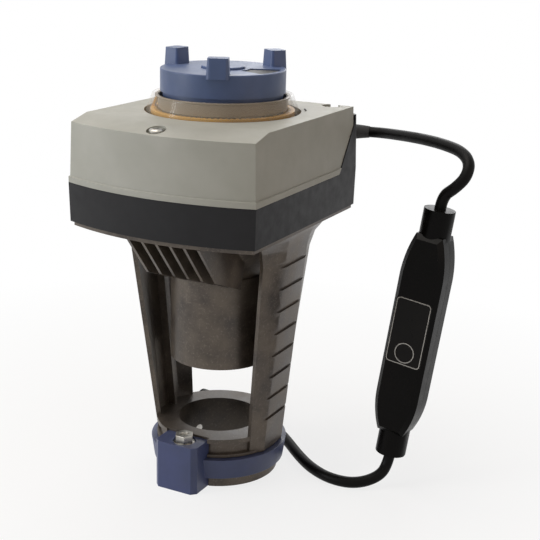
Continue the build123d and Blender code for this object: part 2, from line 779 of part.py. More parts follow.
UPPER_BEARING_OUTER = 18.0
MOTOR_BOSS = 6.0
with BuildPart() as gear_plate:
    with BuildSketch(Plane.XY.offset(PLATE_BOTTOM)):
        with BuildLine():
            Polyline((-53, -52), (52, -52), (53, 20), (26, 52), (-38, 52), (-53, 30), close=True)
        make_face()
        Circle(UPPER_BEARING_OUTER, mode=Mode.SUBTRACT)
        with Locations(*PILLAR_SPOTS):
            Circle(1.6, mode=Mode.SUBTRACT)
        with Locations((IDLER_X, IDLER_Y), (RING_DRIVE_X, RING_DRIVE_Y)):
            Circle(AXLE_RADIUS, mode=Mode.SUBTRACT)
        with Locations((MOTOR_X, MOTOR_Y)):
            Circle(MOTOR_BOSS, mode=Mode.SUBTRACT)
        with Locations(*MOTOR_EARS):
            Circle(MOTOR_SCREW, mode=Mode.SUBTRACT)
    extrude(amount=PLATE_THICKNESS)
save(gear_plate, "gear_plate")

plate_screws = screw_group(screw(1.6, 8.0, 3.4, 2.2), PILLAR_SPOTS, PLATE_TOP)
save(plate_screws, "plate_screws")


def bearing(bottom, outer):
    """Flanged plain bearing that stands on its seat."""
    with BuildPart() as made:
        with BuildSketch(Plane.XZ):
            with BuildLine():
                Polyline(
                    (BEARING_BORE + RUN_GAP, bottom),
                    (outer, bottom),
                    (outer, bottom + BEARING_HEIGHT),
                    (BEARING_BORE + RUN_GAP, bottom + BEARING_HEIGHT),
                    close=True,
                )
            make_face()
        revolve(axis=Axis.Z)
        chamfer(made.edges().filter_by(GeomType.CIRCLE).sort_by(SortBy.RADIUS)[-2:], length=0.6)
    return made


lower_bearing = bearing(BEARING_BOTTOM, BEARING_OUTER)
save(lower_bearing, "lower_bearing")

with BuildPart() as upper_bearing:
    with BuildSketch(Plane.XZ):
        with BuildLine():
            Polyline(
                (NUT_UPPER_HUB + RUN_GAP, PLATE_BOTTOM - 2.0),
                (UPPER_BEARING_OUTER, PLATE_BOTTOM - 2.0),
                (UPPER_BEARING_OUTER, PLATE_TOP),
                (UPPER_BEARING_OUTER + 2.0, PLATE_TOP),
                (UPPER_BEARING_OUTER + 2.0, PLATE_TOP + 1.6),
                (NUT_UPPER_HUB + RUN_GAP, PLATE_TOP + 1.6),
                close=True,
            )
        make_face()
    revolve(axis=Axis.Z)
save(upper_bearing, "upper_bearing")

with BuildPart() as stem_guide_bush:
    with BuildSketch(Plane.XY.offset(SKIRT_TOP - SKIRT_ROOF)):
        Circle(GUIDE_RADIUS)
    extrude(amount=GUIDE_TOP - SKIRT_TOP + SKIRT_ROOF)
    with BuildSketch(Plane.XY.offset(SKIRT_TOP - SKIRT_ROOF - 2.0)):
        Circle(GUIDE_RADIUS + 3.0)
    extrude(amount=2.0)
    with BuildSketch(Plane.XY.offset(SKIRT_TOP - SKIRT_ROOF - 2.0)):
        Circle(STEM_RADIUS + RUN_GAP)
        Rectangle(4 * STEM_RADIUS, 2 * (STEM_FLAT + RUN_GAP), mode=Mode.INTERSECT)
    extrude(amount=60.0, mode=Mode.SUBTRACT)
save(stem_guide_bush, "stem_guide_bush")


# Drive nut with its large gear and the small take-off gear
def toothed(teeth, module, bottom, height, bore, turn, centre=(0.0, 0.0)):
    """Spur gear with a bore, turned by an angle and placed on its axle."""
    steps = FINE_STEPS if teeth < 25 else COARSE_STEPS
    with BuildPart() as made:
        with BuildSketch(Plane.XY.offset(bottom)):
            with BuildLine():
                Polyline(*gear_outline(teeth, module, steps), close=True)
            make_face()
            Circle(bore, mode=Mode.SUBTRACT)
        extrude(amount=height)
    return made.part.rotate(Axis.Z, turn).moved(Location((centre[0], centre[1], 0)))


NUT_THREAD_TOP = PLATE_BOTTOM
NUT_BOTTOM = BEARING_BOTTOM + LOOSE_GAP
with BuildPart() as drive_nut:
    with BuildSketch(Plane.XZ):
        with BuildLine():
            Polyline(
                (STEM_RADIUS + RUN_GAP, NUT_BOTTOM),
                (BEARING_BORE, NUT_BOTTOM),
                (BEARING_BORE, IDLER_WHEEL_BOTTOM - 1.0),
                (NUT_UPPER_HUB, IDLER_WHEEL_BOTTOM - 1.0),
                (NUT_UPPER_HUB, TAKEOFF_BOTTOM - 1.0),
                (NUT_NECK, TAKEOFF_BOTTOM - 1.0),
                (NUT_NECK, NUT_TOP),
                (STEM_RADIUS + 1.0, NUT_TOP),
                (STEM_RADIUS + 1.0, NUT_THREAD_TOP),
                (STEM_RADIUS + RUN_GAP, NUT_THREAD_TOP),
                close=True,
            )
        make_face()
    revolve(axis=Axis.Z)
    # Dog slots for the knob shaft
    with BuildSketch(Plane.XY.offset(NUT_TOP)):
        Rectangle(5 * NUT_NECK, 4.4)
    extrude(amount=-4.0, mode=Mode.SUBTRACT)
save(drive_nut, "drive_nut")

with BuildPart() as drive_gear:
    add(toothed(DRIVE_TEETH, MODULE, DRIVE_GEAR_BOTTOM, DRIVE_GEAR_HEIGHT, BEARING_BORE, IDLER_ANGLE))
    # Recessed web between rim and hub
    for level, depth in ((DRIVE_GEAR_BOTTOM + DRIVE_GEAR_HEIGHT, -2.0), (DRIVE_GEAR_BOTTOM, 2.0)):
        with BuildSketch(Plane.XY.offset(level)):
            Circle(DRIVE_TEETH * MODULE / 2 - 4.0)
            Circle(BEARING_BORE + 3.0, mode=Mode.SUBTRACT)
        extrude(amount=depth, mode=Mode.SUBTRACT)
save(drive_gear, "drive_gear")

with BuildPart() as takeoff_gear:
    add(toothed(TAKEOFF_TEETH, MODULE, TAKEOFF_BOTTOM, TAKEOFF_HEIGHT, NUT_NECK, RING_DRIVE_ANGLE))
save(takeoff_gear, "takeoff_gear")


# Intermediate gear set between the motor and the drive gear
IDLER_AT = (IDLER_X, IDLER_Y)
IDLER_PINION_TURN = IDLER_ANGLE + 180 + 180 / IDLER_PINION_TEETH
IDLER_PINION_BOTTOM = DRIVE_GEAR_BOTTOM - 1.0
IDLER_WHEEL_TOP = IDLER_WHEEL_BOTTOM + IDLER_WHEEL_HEIGHT
with BuildPart() as intermediate_gear:
    add(toothed(IDLER_PINION_TEETH, MODULE, IDLER_PINION_BOTTOM, IDLER_WHEEL_BOTTOM - IDLER_PINION_BOTTOM,
                AXLE_RADIUS + RUN_GAP, IDLER_PINION_TURN, IDLER_AT))
    add(toothed(IDLER_WHEEL_TEETH, FINE_MODULE, IDLER_WHEEL_BOTTOM, IDLER_WHEEL_HEIGHT,
                AXLE_RADIUS + RUN_GAP, MOTOR_ANGLE, IDLER_AT))
    with BuildSketch(Plane.XY.offset(IDLER_WHEEL_TOP)):
        with Locations(IDLER_AT):
            Circle(IDLER_WHEEL_TEETH * FINE_MODULE / 2 - 3.5)
            Circle(5.0, mode=Mode.SUBTRACT)
    extrude(amount=-1.6, mode=Mode.SUBTRACT)
save(intermediate_gear, "intermediate_gear")

with BuildPart() as intermediate_axle:
    with BuildSketch(Plane.XY.offset(BASE_FLOOR_TOP)):
        with Locations(IDLER_AT):
            Circle(AXLE_RADIUS)
    extrude(amount=PLATE_TOP - BASE_FLOOR_TOP)
save(intermediate_axle, "intermediate_axle")


# Motor on the gear plate
MOTOR_AT = (MOTOR_X, MOTOR_Y)
MOTOR_SHAFT = 1.5
MOTOR_PINION_TURN = MOTOR_ANGLE + 180 + 180 / MOTOR_PINION_TEETH
MOTOR_SCREW_SEAT = PLATE_TOP + 1.6
with BuildPart() as motor_can:
    with BuildSketch(Plane.XY.offset(PLATE_TOP)):
        with Locations(MOTOR_AT):
            Circle(MOTOR_RADIUS)
    extrude(amount=MOTOR_HEIGHT)
    fillet(motor_can.edges().group_by(Axis.Z)[-1], radius=1.5)
    with BuildSketch(Plane.XY.offset(PLATE_TOP)):
        with Locations(MOTOR_AT, *MOTOR_EARS):
            Circle(4.4)
    extrude(amount=1.6)
    with BuildSketch(Plane.XY.offset(PLATE_TOP)):
        with Locations(*MOTOR_EARS):
            Circle(1.5, mode=Mode.ADD)
    extrude(amount=1.6, mode=Mode.SUBTRACT)
    with BuildSketch(Plane.XY.offset(PLATE_TOP)):
        with Locations(MOTOR_AT):
            Circle(MOTOR_SHAFT + RUN_GAP)
    extrude(amount=10.0, mode=Mode.SUBTRACT)
save(motor_can, "motor_can")

motor_screws = screw_group(screw(MOTOR_SCREW, 3.6, 2.6, 1.8), MOTOR_EARS, MOTOR_SCREW_SEAT)
save(motor_screws, "motor_screws")

MOTOR_PINION_BOTTOM = IDLER_WHEEL_BOTTOM - 1.0
with BuildPart() as motor_pinion:
    add(toothed(MOTOR_PINION_TEETH, FINE_MODULE, MOTOR_PINION_BOTTOM, 7.5, 0.5, MOTOR_PINION_TURN, MOTOR_AT))
    with BuildSketch(Plane.XY.offset(MOTOR_PINION_BOTTOM)):
        with Locations(MOTOR_AT):
            Circle(MOTOR_SHAFT)
    extrude(amount=PLATE_TOP + 8.0 - MOTOR_PINION_BOTTOM)
save(motor_pinion, "motor_pinion")


# Slow drive of the yellow position ring
RING_DRIVE_AT = (RING_DRIVE_X, RING_DRIVE_Y)
RING_WHEEL_TURN = RING_DRIVE_ANGLE + 180 + 180 / RING_WHEEL_TEETH
RING_PINION_BOTTOM = RING_BOTTOM + 0.4
with BuildPart() as ring_drive_gear:
    add(toothed(RING_WHEEL_TEETH, MODULE, RING_DRIVE_WHEEL_BOTTOM, TAKEOFF_HEIGHT,
                AXLE_RADIUS + RUN_GAP, RING_WHEEL_TURN, RING_DRIVE_AT))
    with BuildSketch(Plane.XY.offset(RING_DRIVE_WHEEL_BOTTOM + TAKEOFF_HEIGHT)):
        with Locations(RING_DRIVE_AT):
            Circle(3.8)
            Circle(AXLE_RADIUS + RUN_GAP, mode=Mode.SUBTRACT)
    extrude(amount=RING_PINION_BOTTOM - RING_DRIVE_WHEEL_BOTTOM - TAKEOFF_HEIGHT)
    add(toothed(RING_PINION_TEETH, MODULE, RING_PINION_BOTTOM, RING_PINION_TOP - RING_PINION_BOTTOM,
                AXLE_RADIUS + RUN_GAP, RING_DRIVE_ANGLE, RING_DRIVE_AT))
save(ring_drive_gear, "ring_drive_gear")

with BuildPart() as ring_drive_axle:
    with BuildSketch(Plane.XY.offset(PLATE_BOTTOM)):
        with Locations(RING_DRIVE_AT):
            Circle(AXLE_RADIUS)
    extrude(amount=RING_PINION_TOP - PLATE_BOTTOM)
    with BuildSketch(Plane.XY.offset(PLATE_TOP)):
        with Locations(RING_DRIVE_AT):
            Circle(AXLE_RADIUS + 2.0)
    extrude(amount=RING_DRIVE_WHEEL_BOTTOM - SLIP_GAP - PLATE_TOP)
save(ring_drive_axle, "ring_drive_axle")

POINTER_ARC = 9.0
with BuildPart() as position_ring:
    with BuildSketch(Plane.XY.offset(RING_BOTTOM)) as ring_plan:
        Circle(RING_OUTER)
        with BuildLine(mode=Mode.PRIVATE) as gaps:
            Polyline(*gear_outline(RING_TEETH, MODULE, COARSE_STEPS, internal=True), close=True)
        add(make_face(gaps.edges(), mode=Mode.PRIVATE).rotate(Axis.Z, RING_DRIVE_ANGLE), mode=Mode.SUBTRACT)
    extrude(amount=RING_HEIGHT)
    # Upright pointer that shows through the lens
    with BuildSketch(Plane.XZ.rotated((0, 0, POINTER_ANGLE))):
        with BuildLine():
            Polyline(
                (RING_OUTER - 1.6, RING_BOTTOM + RING_HEIGHT - 0.6),
                (RING_OUTER, RING_BOTTOM + RING_HEIGHT - 0.6),
                (RING_OUTER - 0.2, COVER_TOP + 1.0),
                (RING_OUTER - 3.1, POINTER_TOP),
                (RING_OUTER - 4.3, POINTER_TOP),
                close=True,
            )
        make_face()
    revolve(axis=Axis.Z, revolution_arc=POINTER_ARC)
save(position_ring, "position_ring")


# Stem and coupling that lift and lower the valve
with BuildPart() as drive_stem:
    with BuildSketch(Plane.XY.offset(COUPLING_TOP - 12.0)):
        Circle(STEM_RADIUS)
    extrude(amount=STEM_TOP - COUPLING_TOP + 12.0)
    chamfer(drive_stem.edges().group_by(Axis.Z)[-1], length=0.8)
    with BuildSketch(Plane.XY.offset(COUPLING_TOP)):
        Rectangle(4 * STEM_RADIUS, 4 * STEM_RADIUS)
        Rectangle(4 * STEM_RADIUS, 2 * STEM_FLAT, mode=Mode.SUBTRACT)
    extrude(amount=STEM_FLAT_TOP - COUPLING_TOP, mode=Mode.SUBTRACT)
save(drive_stem, "drive_stem")

SET_SCREW_RADIUS = 2.0
SET_SCREW_HEIGHTS = (COUPLING_BOTTOM + 7.0, COUPLING_TOP - 6.0)
with BuildPart() as stem_coupling:
    with BuildSketch(Plane.XY.offset(COUPLING_BOTTOM)):
        Circle(COUPLING_RADIUS)
    extrude(amount=COUPLING_TOP - COUPLING_BOTTOM)
    chamfer(stem_coupling.edges(), length=1.2)
    with BuildSketch(Plane.XY.offset(COUPLING_BOTTOM)):
        Circle(SOCKET_RADIUS)
    extrude(amount=SOCKET_DEPTH - 1.0, mode=Mode.SUBTRACT)
    with BuildSketch(Plane.XY.offset(COUPLING_TOP)):
        Circle(STEM_RADIUS)
    extrude(amount=-12.0, mode=Mode.SUBTRACT)
    # Flats for a spanner
    with BuildSketch(Plane.XY.offset(COUPLING_BOTTOM + 12.0)):
        Rectangle(4 * COUPLING_RADIUS, 4 * COUPLING_RADIUS)
        Rectangle(4 * COUPLING_RADIUS, 2 * COUPLING_RADIUS - 4.0, mode=Mode.SUBTRACT)
    extrude(amount=6.0, mode=Mode.SUBTRACT)
    with BuildSketch(Plane.YZ):
        with Locations(*[(0, height) for height in SET_SCREW_HEIGHTS]):
            Circle(SET_SCREW_RADIUS)
    extrude(amount=COUPLING_RADIUS + 1.0, mode=Mode.SUBTRACT)
save(stem_coupling, "stem_coupling")

with BuildPart() as coupling_screws:
    with BuildSketch(Plane.YZ.offset(STEM_RADIUS + SLIP_GAP)):
        with Locations(*[(0, height) for height in SET_SCREW_HEIGHTS]):
            Circle(SET_SCREW_RADIUS)
            RegularPolygon(1.1, 6, mode=Mode.SUBTRACT)
    extrude(amount=COUPLING_RADIUS - STEM_RADIUS - 0.8)
save(coupling_screws, "coupling_screws")


# Hand knob on its hollow shaft
SHAFT_BOTTOM = NUT_TOP + SLIP_GAP + 0.2
with BuildPart() as knob:
    with BuildSketch(Plane.XY.offset(KNOB_BOTTOM)):
        Circle(KNOB_RADIUS)
    extrude(amount=KNOB_TOP - KNOB_BOTTOM)
    fillet(knob.edges().group_by(Axis.Z)[-1], radius=KNOB_EDGE)
    # Drum that reaches down into the lens
    with BuildSketch(Plane.XY.offset(KNOB_BOTTOM - 6.5)):
        Circle(KNOB_RADIUS - 1.5)
    extrude(amount=6.5)
    with BuildSketch(Plane.XY.offset(KNOB_BOTTOM - 6.5)):
        Circle(KNOB_RADIUS - 3.7)
    extrude(amount=KNOB_TOP - 3.6 - KNOB_BOTTOM + 6.5, mode=Mode.SUBTRACT)
    # Three tapered nubs that overlap the rim
    for angle in KNOB_ANGLES:
        nub_x, nub_y = polar(KNOB_NUB_REACH, angle)
        nub_top = Plane((nub_x, nub_y, KNOB_NUB_TOP), x_dir=(cos(radians(angle)), sin(radians(angle)), 0))
        with BuildSketch(nub_top):
            RectangleRounded(NUB_DEPTH, NUB_WIDTH, NUB_CORNER)
        extrude(amount=-(KNOB_NUB_TOP - KNOB_TOP + NUB_OVERLAP), taper=-NUB_TAPER)
    # Inner tube that holds the shaft
    with BuildSketch(Plane.XY.offset(KNOB_BOTTOM - 4.0)):
        Circle(KNOB_SHAFT + 3.0)
        Circle(KNOB_SHAFT, mode=Mode.SUBTRACT)
    extrude(amount=KNOB_TOP - 3.0 - KNOB_BOTTOM + 4.0)
    # Recess for the centre cap and the sector panel
    with BuildSketch(Plane.XY.offset(KNOB_TOP)):
        Circle(KNOB_CAP_RADIUS + SLIP_GAP)
    extrude(amount=-2.0, mode=Mode.SUBTRACT)
    with BuildSketch(Plane.XY.offset(KNOB_TOP)) as inlay_plan:
        with BuildLine():
            CenterArc((0, 0), KNOB_RADIUS - 3.0, -22.0, 44.0)
            CenterArc((0, 0), KNOB_CAP_RADIUS + 3.0, -22.0, 44.0)
            Line(polar(KNOB_CAP_RADIUS + 3.0, -22.0), polar(KNOB_RADIUS - 3.0, -22.0))
            Line(polar(KNOB_CAP_RADIUS + 3.0, 22.0), polar(KNOB_RADIUS - 3.0, 22.0))
        make_face()
    extrude(amount=-1.4, mode=Mode.SUBTRACT)
save(knob, "knob")

with BuildPart() as knob_inlay:
    add(placed(Plane.XY.offset(-KNOB_TOP) * inlay_plan.sketch, KNOB_TOP - 1.4))
    extrude(amount=0.8)
save(knob_inlay, "knob_inlay")

with BuildPart() as knob_cap:
    with BuildSketch(Plane.XY.offset(KNOB_TOP - 2.0)):
        Circle(KNOB_CAP_RADIUS)
    extrude(amount=3.4)
    fillet(knob_cap.edges().group_by(Axis.Z)[-1], radius=0.8)
save(knob_cap, "knob_cap")

THRUST_BOTTOM = DIAL_PLATE_TOP + 9.0
THRUST_RADIUS = KNOB_SHAFT + 4.5
with BuildPart() as knob_shaft:
    with BuildSketch(Plane.XZ):
        with BuildLine():
            Polyline(
                (KNOB_SHAFT_BORE, SHAFT_BOTTOM),
                (KNOB_SHAFT, SHAFT_BOTTOM),
                (KNOB_SHAFT, KNOB_TOP - 3.6),
                (0.0, KNOB_TOP - 3.6),
                (0.0, KNOB_TOP - 6.6),
                (KNOB_SHAFT_BORE, KNOB_TOP - 6.6),
                close=True,
            )
        make_face()
    revolve(axis=Axis.Z)
save(knob_shaft, "knob_shaft")

with BuildPart() as knob_thrust_ring:
    with BuildSketch(Plane.XY.offset(THRUST_BOTTOM)):
        Circle(THRUST_RADIUS)
        Circle(KNOB_SHAFT + RUN_GAP, mode=Mode.SUBTRACT)
    extrude(amount=2.0)
save(knob_thrust_ring, "knob_thrust_ring")

SPRING_WIRE = 0.7
SPRING_REACH = KNOB_SHAFT + 2.2
SPRING_HEIGHT = THRUST_BOTTOM - DIAL_PLATE_TOP - 2 * SPRING_WIRE
with BuildPart() as knob_spring:
    with BuildLine():
        Helix(SPRING_HEIGHT / 3, SPRING_HEIGHT, SPRING_REACH, center=(0, 0, DIAL_PLATE_TOP + SPRING_WIRE))
    wire_start = (SPRING_REACH, 0, DIAL_PLATE_TOP + SPRING_WIRE)
    with BuildSketch(Plane(wire_start, x_dir=(1, 0, 0), z_dir=(0, 1, 0))):
        Circle(SPRING_WIRE)
    sweep(is_frenet=True)
save(knob_spring, "knob_spring")


# Clamp on the neck: band with a block, bolt, washer and nut
BAND_OUTER = NECK_COLLAR + BAND_THICKNESS
with BuildPart() as clamp_band:
    with BuildSketch(Plane.XZ):
        with BuildLine():
            Polyline(
                (NECK_COLLAR, BAND_BOTTOM),
                (BAND_OUTER - BAND_SLOPE, BAND_BOTTOM),
                (BAND_OUTER, BAND_TOP),
                (NECK_COLLAR, BAND_TOP),
                close=True,
            )
        make_face()
    revolve(axis=Axis.Z)
    # Block at the front with a blunt nose
    with BuildSketch(Plane.XY):
        with BuildLine():
            Polyline(
                (-BLOCK_LEFT, -CLAMP_FLAT),
                (-BLOCK_LEFT, -BLOCK_FRONT + BLOCK_NOSE),
                (-BLOCK_LEFT + BLOCK_NOSE, -BLOCK_FRONT),
                (BLOCK_RIGHT - BLOCK_NOSE, -BLOCK_FRONT),
                (BLOCK_RIGHT, -BLOCK_FRONT + BLOCK_NOSE),
                (BLOCK_RIGHT, -CLAMP_FLAT),
                close=True,
            )
        make_face()
    extrude(amount=BLOCK_TOP)
    # Seat under the bolt head, bolt hole and nut pocket
    with BuildSketch(Plane.XY.offset(BOLT_SEAT)):
        with Locations((0, BOLT_Y)):
            Circle(WASHER_RADIUS + 0.6)
    extrude(amount=BLOCK_TOP, mode=Mode.SUBTRACT)
    with BuildSketch(Plane.XY):
        with Locations((0, BOLT_Y)):
            Circle(BOLT_RADIUS + SLIP_GAP)
    extrude(amount=BLOCK_TOP, mode=Mode.SUBTRACT)
    with BuildSketch(Plane.XY):
        with Locations((0, BOLT_Y)):
            RegularPolygon(BOLT_HEAD + SLIP_GAP, 6, major_radius=False)
    extrude(amount=NUT_LOWER_FACE + NUT_HEIGHT, mode=Mode.SUBTRACT)
save(clamp_band, "clamp_band")

with BuildPart() as clamp_washer:
    with BuildSketch(Plane.XY.offset(BOLT_SEAT)):
        with Locations((0, BOLT_Y)):
            Circle(WASHER_RADIUS)
            Circle(BOLT_RADIUS, mode=Mode.SUBTRACT)
    extrude(amount=WASHER_THICKNESS)
save(clamp_washer, "clamp_washer")

with BuildPart() as clamp_bolt:
    with BuildSketch(Plane.XY.offset(1.0)):
        with Locations((0, BOLT_Y)):
            Circle(BOLT_RADIUS)
    extrude(amount=BOLT_SEAT + WASHER_THICKNESS - 1.0)
    with BuildSketch(Plane.XY.offset(BOLT_SEAT + WASHER_THICKNESS)):
        with Locations((0, BOLT_Y)):
            RegularPolygon(BOLT_HEAD, 6, major_radius=False)
    extrude(amount=BOLT_HEAD_HEIGHT)
    with BuildSketch(Plane.XY.offset(BOLT_SEAT + WASHER_THICKNESS + BOLT_HEAD_HEIGHT)):
        with Locations((0, BOLT_Y)):
            Circle(2.6)
    extrude(amount=-1.2, mode=Mode.SUBTRACT)
save(clamp_bolt, "clamp_bolt")

with BuildPart() as clamp_nut:
    with BuildSketch(Plane.XY.offset(NUT_LOWER_FACE)):
        with Locations((0, BOLT_Y)):
            RegularPolygon(BOLT_HEAD, 6, major_radius=False)
            Circle(BOLT_RADIUS, mode=Mode.SUBTRACT)
    extrude(amount=NUT_HEIGHT)
save(clamp_nut, "clamp_nut")

with BuildPart() as locating_pin:
    with BuildSketch(PIN_AXIS.offset(NECK_BORE + 0.1)):
        Circle(PIN_RADIUS)
    extrude(amount=PIN_END - NECK_BORE - 0.1)
save(locating_pin, "locating_pin")


# Electronics in the base
BOARD_BOTTOM = BASE_FLOOR_TOP + 4.0
BOARD_THICKNESS = 1.6
BOARD_TOP = BOARD_BOTTOM + BOARD_THICKNESS
BOARD_SPOTS = ((-24.0, 57.0), (24.0, 57.0))
BOARD_MIDDLE = 48.0
with BuildPart() as board_posts:
    with BuildSketch(Plane.XY.offset(BASE_FLOOR_TOP)):
        with Locations(*BOARD_SPOTS, (0.0, 39.0)):
            Circle(2.6)
            Circle(1.2, mode=Mode.SUBTRACT)
    extrude(amount=BOARD_BOTTOM - BASE_FLOOR_TOP)
save(board_posts, "board_posts")

with BuildPart() as circuit_board:
    with BuildSketch(Plane.XY.offset(BOARD_BOTTOM)):
        with Locations((0.0, BOARD_MIDDLE)):
            Rectangle(58.0, 25.0)
        with Locations(*BOARD_SPOTS, (0.0, 39.0)):
            Circle(1.2, mode=Mode.SUBTRACT)
    extrude(amount=BOARD_THICKNESS)
save(circuit_board, "circuit_board")

board_screw = screw(1.2, BOARD_TOP - BASE_FLOOR_TOP, 2.2, 1.6)
board_screws = screw_group(board_screw, (*BOARD_SPOTS, (0.0, 39.0)), BOARD_TOP)
save(board_screws, "board_screws")

TERMINAL_COUNT = 5
TERMINAL_PITCH = 7.5
with BuildPart() as terminal_block:
    with BuildSketch(Plane.XY.offset(BOARD_TOP)):
        with Locations((0.0, BOARD_MIDDLE)):
            Rectangle(TERMINAL_COUNT * TERMINAL_PITCH, 9.0)
    extrude(amount=11.0)
    with BuildSketch(Plane.XY.offset(BOARD_TOP + 11.0)):
        with Locations((0.0, BOARD_MIDDLE - 1.0)):
            with GridLocations(TERMINAL_PITCH, 0, TERMINAL_COUNT, 1):
                Circle(2.2)
    extrude(amount=-3.0, mode=Mode.SUBTRACT)
    with BuildSketch(Plane.XZ.offset(-BOARD_MIDDLE - 4.5)):
        with Locations((0.0, BOARD_TOP + 4.5)):
            with GridLocations(TERMINAL_PITCH, 0, TERMINAL_COUNT, 1):
                Rectangle(5.0, 5.0)
    extrude(amount=3.0, mode=Mode.SUBTRACT)
save(terminal_block, "terminal_block")

# End switches on the gear plate
SWITCH_SPOTS = ((-38.0, 30.0), (-38.0, 18.0))
with BuildPart() as end_switches:
    with BuildSketch(Plane.XY.offset(PLATE_TOP)):
        with Locations(*SWITCH_SPOTS):
            Rectangle(19.0, 10.0)
    extrude(amount=6.4)
    with BuildSketch(Plane.XY.offset(PLATE_TOP + 6.4)):
        with Locations(*[(x + 4.0, y) for x, y in SWITCH_SPOTS]):
            Rectangle(1.6, 3.0)
    extrude(amount=1.2)
save(end_switches, "end_switches")


# Cable bushing and blanking plugs in the rear wall
BUSHING_FLANGE = ENTRY_RADIUS + 2.0
with BuildPart() as cable_bushing:
    with BuildSketch(Plane.XZ.offset(-(REAR - WALL - 2.5))):
        with Locations((ENTRY_X, ENTRY_Z)):
            Circle(ENTRY_RADIUS)
    extrude(amount=-(ENTRY_FACE - REAR + WALL + 2.5))
    with BuildSketch(Plane.XZ.offset(-REAR)):
        with Locations((ENTRY_X, ENTRY_Z)):
            Circle(BUSHING_FLANGE)
    extrude(amount=-2.4)
    chamfer(cable_bushing.edges().group_by(Axis.Y)[-1].sort_by(SortBy.RADIUS)[-1], length=1.0)
save(cable_bushing, "cable_bushing")

with BuildPart() as blanking_plugs:
    with BuildSketch(Plane.XZ.offset(-(REAR - WALL - 2.5))):
        with Locations(*[(x, ENTRY_Z) for x in ENTRY_SPOTS[1:]]):
            Circle(ENTRY_RADIUS)
            Circle(ENTRY_RADIUS - 2.0, mode=Mode.SUBTRACT)
    extrude(amount=-(WALL + 2.5))
    with BuildSketch(Plane.XZ.offset(-REAR)):
        with Locations(*[(x, ENTRY_Z) for x in ENTRY_SPOTS[1:]]):
            Circle(BUSHING_FLANGE)
    extrude(amount=-1.8)
save(blanking_plugs, "blanking_plugs")


# In-line controller, modelled on its own plane: x across, y along the lead, z out of the face
AXIS_VECTOR = Vector(*CONTROLLER_AXIS).normalized()
FACE_VECTOR = Vector(*CONTROLLER_FACE).normalized()
ACROSS_VECTOR = AXIS_VECTOR.cross(FACE_VECTOR).normalized()
SQUARE_FACE = ACROSS_VECTOR.cross(AXIS_VECTOR)
MIDDLE = Plane(CONTROLLER_AT, x_dir=ACROSS_VECTOR, z_dir=SQUARE_FACE)
HALF_LENGTH = CONTROLLER_LENGTH / 2
BODY_END = HALF_LENGTH - COLLAR_LENGTH
SHOULDER_TOP = 34.0
SHOULDER_BOTTOM = -38.0
FACE_HEIGHT = CONTROLLER_DEPTH / 2


def controller_outline(inset):
    """Body seen from the front: straight flanks and pointed arches at both ends."""
    half = CONTROLLER_HALF - inset
    neck = COLLAR_RADIUS - 1.0 - inset
    end = BODY_END - inset
    bulge = half - 1.5
    upper = SHOULDER_TOP + 0.55 * (end - SHOULDER_TOP)
    lower = SHOULDER_BOTTOM - 0.55 * (end + SHOULDER_BOTTOM)
    with BuildSketch(Plane.XY) as outline:
        with BuildLine():
            Line((half, SHOULDER_BOTTOM), (half, SHOULDER_TOP))
            ThreePointArc((half, SHOULDER_TOP), (bulge, upper), (neck, end))
            Line((neck, end), (-neck, end))
            ThreePointArc((-neck, end), (-bulge, upper), (-half, SHOULDER_TOP))
            Line((-half, SHOULDER_TOP), (-half, SHOULDER_BOTTOM))
            ThreePointArc((-half, SHOULDER_BOTTOM), (-bulge, lower), (-neck, -end))
            Line((-neck, -end), (neck, -end))
            ThreePointArc((neck, -end), (bulge, lower), (half, SHOULDER_BOTTOM))
        make_face()
    return outline.sketch


def shell_half(direction):
    """One half shell on the local plane, with its inside cleared."""
    with BuildPart() as made:
        add(controller_outline(0.0))
        extrude(amount=direction * FACE_HEIGHT)
        rim = made.faces().sort_by(Axis.Z)[-1 if direction > 0 else 0].edges()
        chamfer(rim, length=3.0)
        for end in (1, -1):
            with BuildSketch(Plane.XZ.offset(-end * (BODY_END - 3.0))):
                Circle(COLLAR_RADIUS)
                with Locations((0, -direction * COLLAR_RADIUS)):
                    Rectangle(4 * COLLAR_RADIUS, 2 * COLLAR_RADIUS, mode=Mode.SUBTRACT)
            extrude(amount=-end * (COLLAR_LENGTH + 3.0))
        add(controller_outline(CONTROLLER_WALL))
        extrude(amount=direction * (FACE_HEIGHT - CONTROLLER_WALL), mode=Mode.SUBTRACT)
    return made


front_half = shell_half(1)
with BuildPart() as front_local:
    add(front_half.part)
    # Recess for the label and the hole for the button
    with BuildSketch(Plane.XY.offset(FACE_HEIGHT)):
        with Locations((0, LABEL_DROP)):
            RectangleRounded(LABEL_WIDTH, LABEL_LENGTH, 2.2)
    extrude(amount=-0.5, mode=Mode.SUBTRACT)
    with BuildSketch(Plane.XY.offset(FACE_HEIGHT)):
        with Locations((0, BUTTON_DROP)):
            Circle(BUTTON_RADIUS + RUN_GAP)
    extrude(amount=-6.0, mode=Mode.SUBTRACT)
front_local.part = MIDDLE.location * front_local.part
save(front_local, "controller_front_shell")

rear_local = shell_half(-1)
SCREW_POINTS = ((0.0, 44.0), (0.0, -46.0))
with BuildPart() as rear_shell:
    add(rear_local.part)
    with BuildSketch(Plane.XY.offset(-FACE_HEIGHT)):
        with Locations(*SCREW_POINTS):
            Circle(2.6)
    extrude(amount=2.0, mode=Mode.SUBTRACT)
rear_shell.part = MIDDLE.location * rear_shell.part
save(rear_shell, "controller_rear_shell")

with BuildPart() as controller_screws:
    with BuildSketch(MIDDLE.offset(-FACE_HEIGHT)):
        with Locations(*SCREW_POINTS):
            Circle(2.6)
            RegularPolygon(1.0, 6, mode=Mode.SUBTRACT)
    extrude(amount=2.0)
save(controller_screws, "controller_screws")

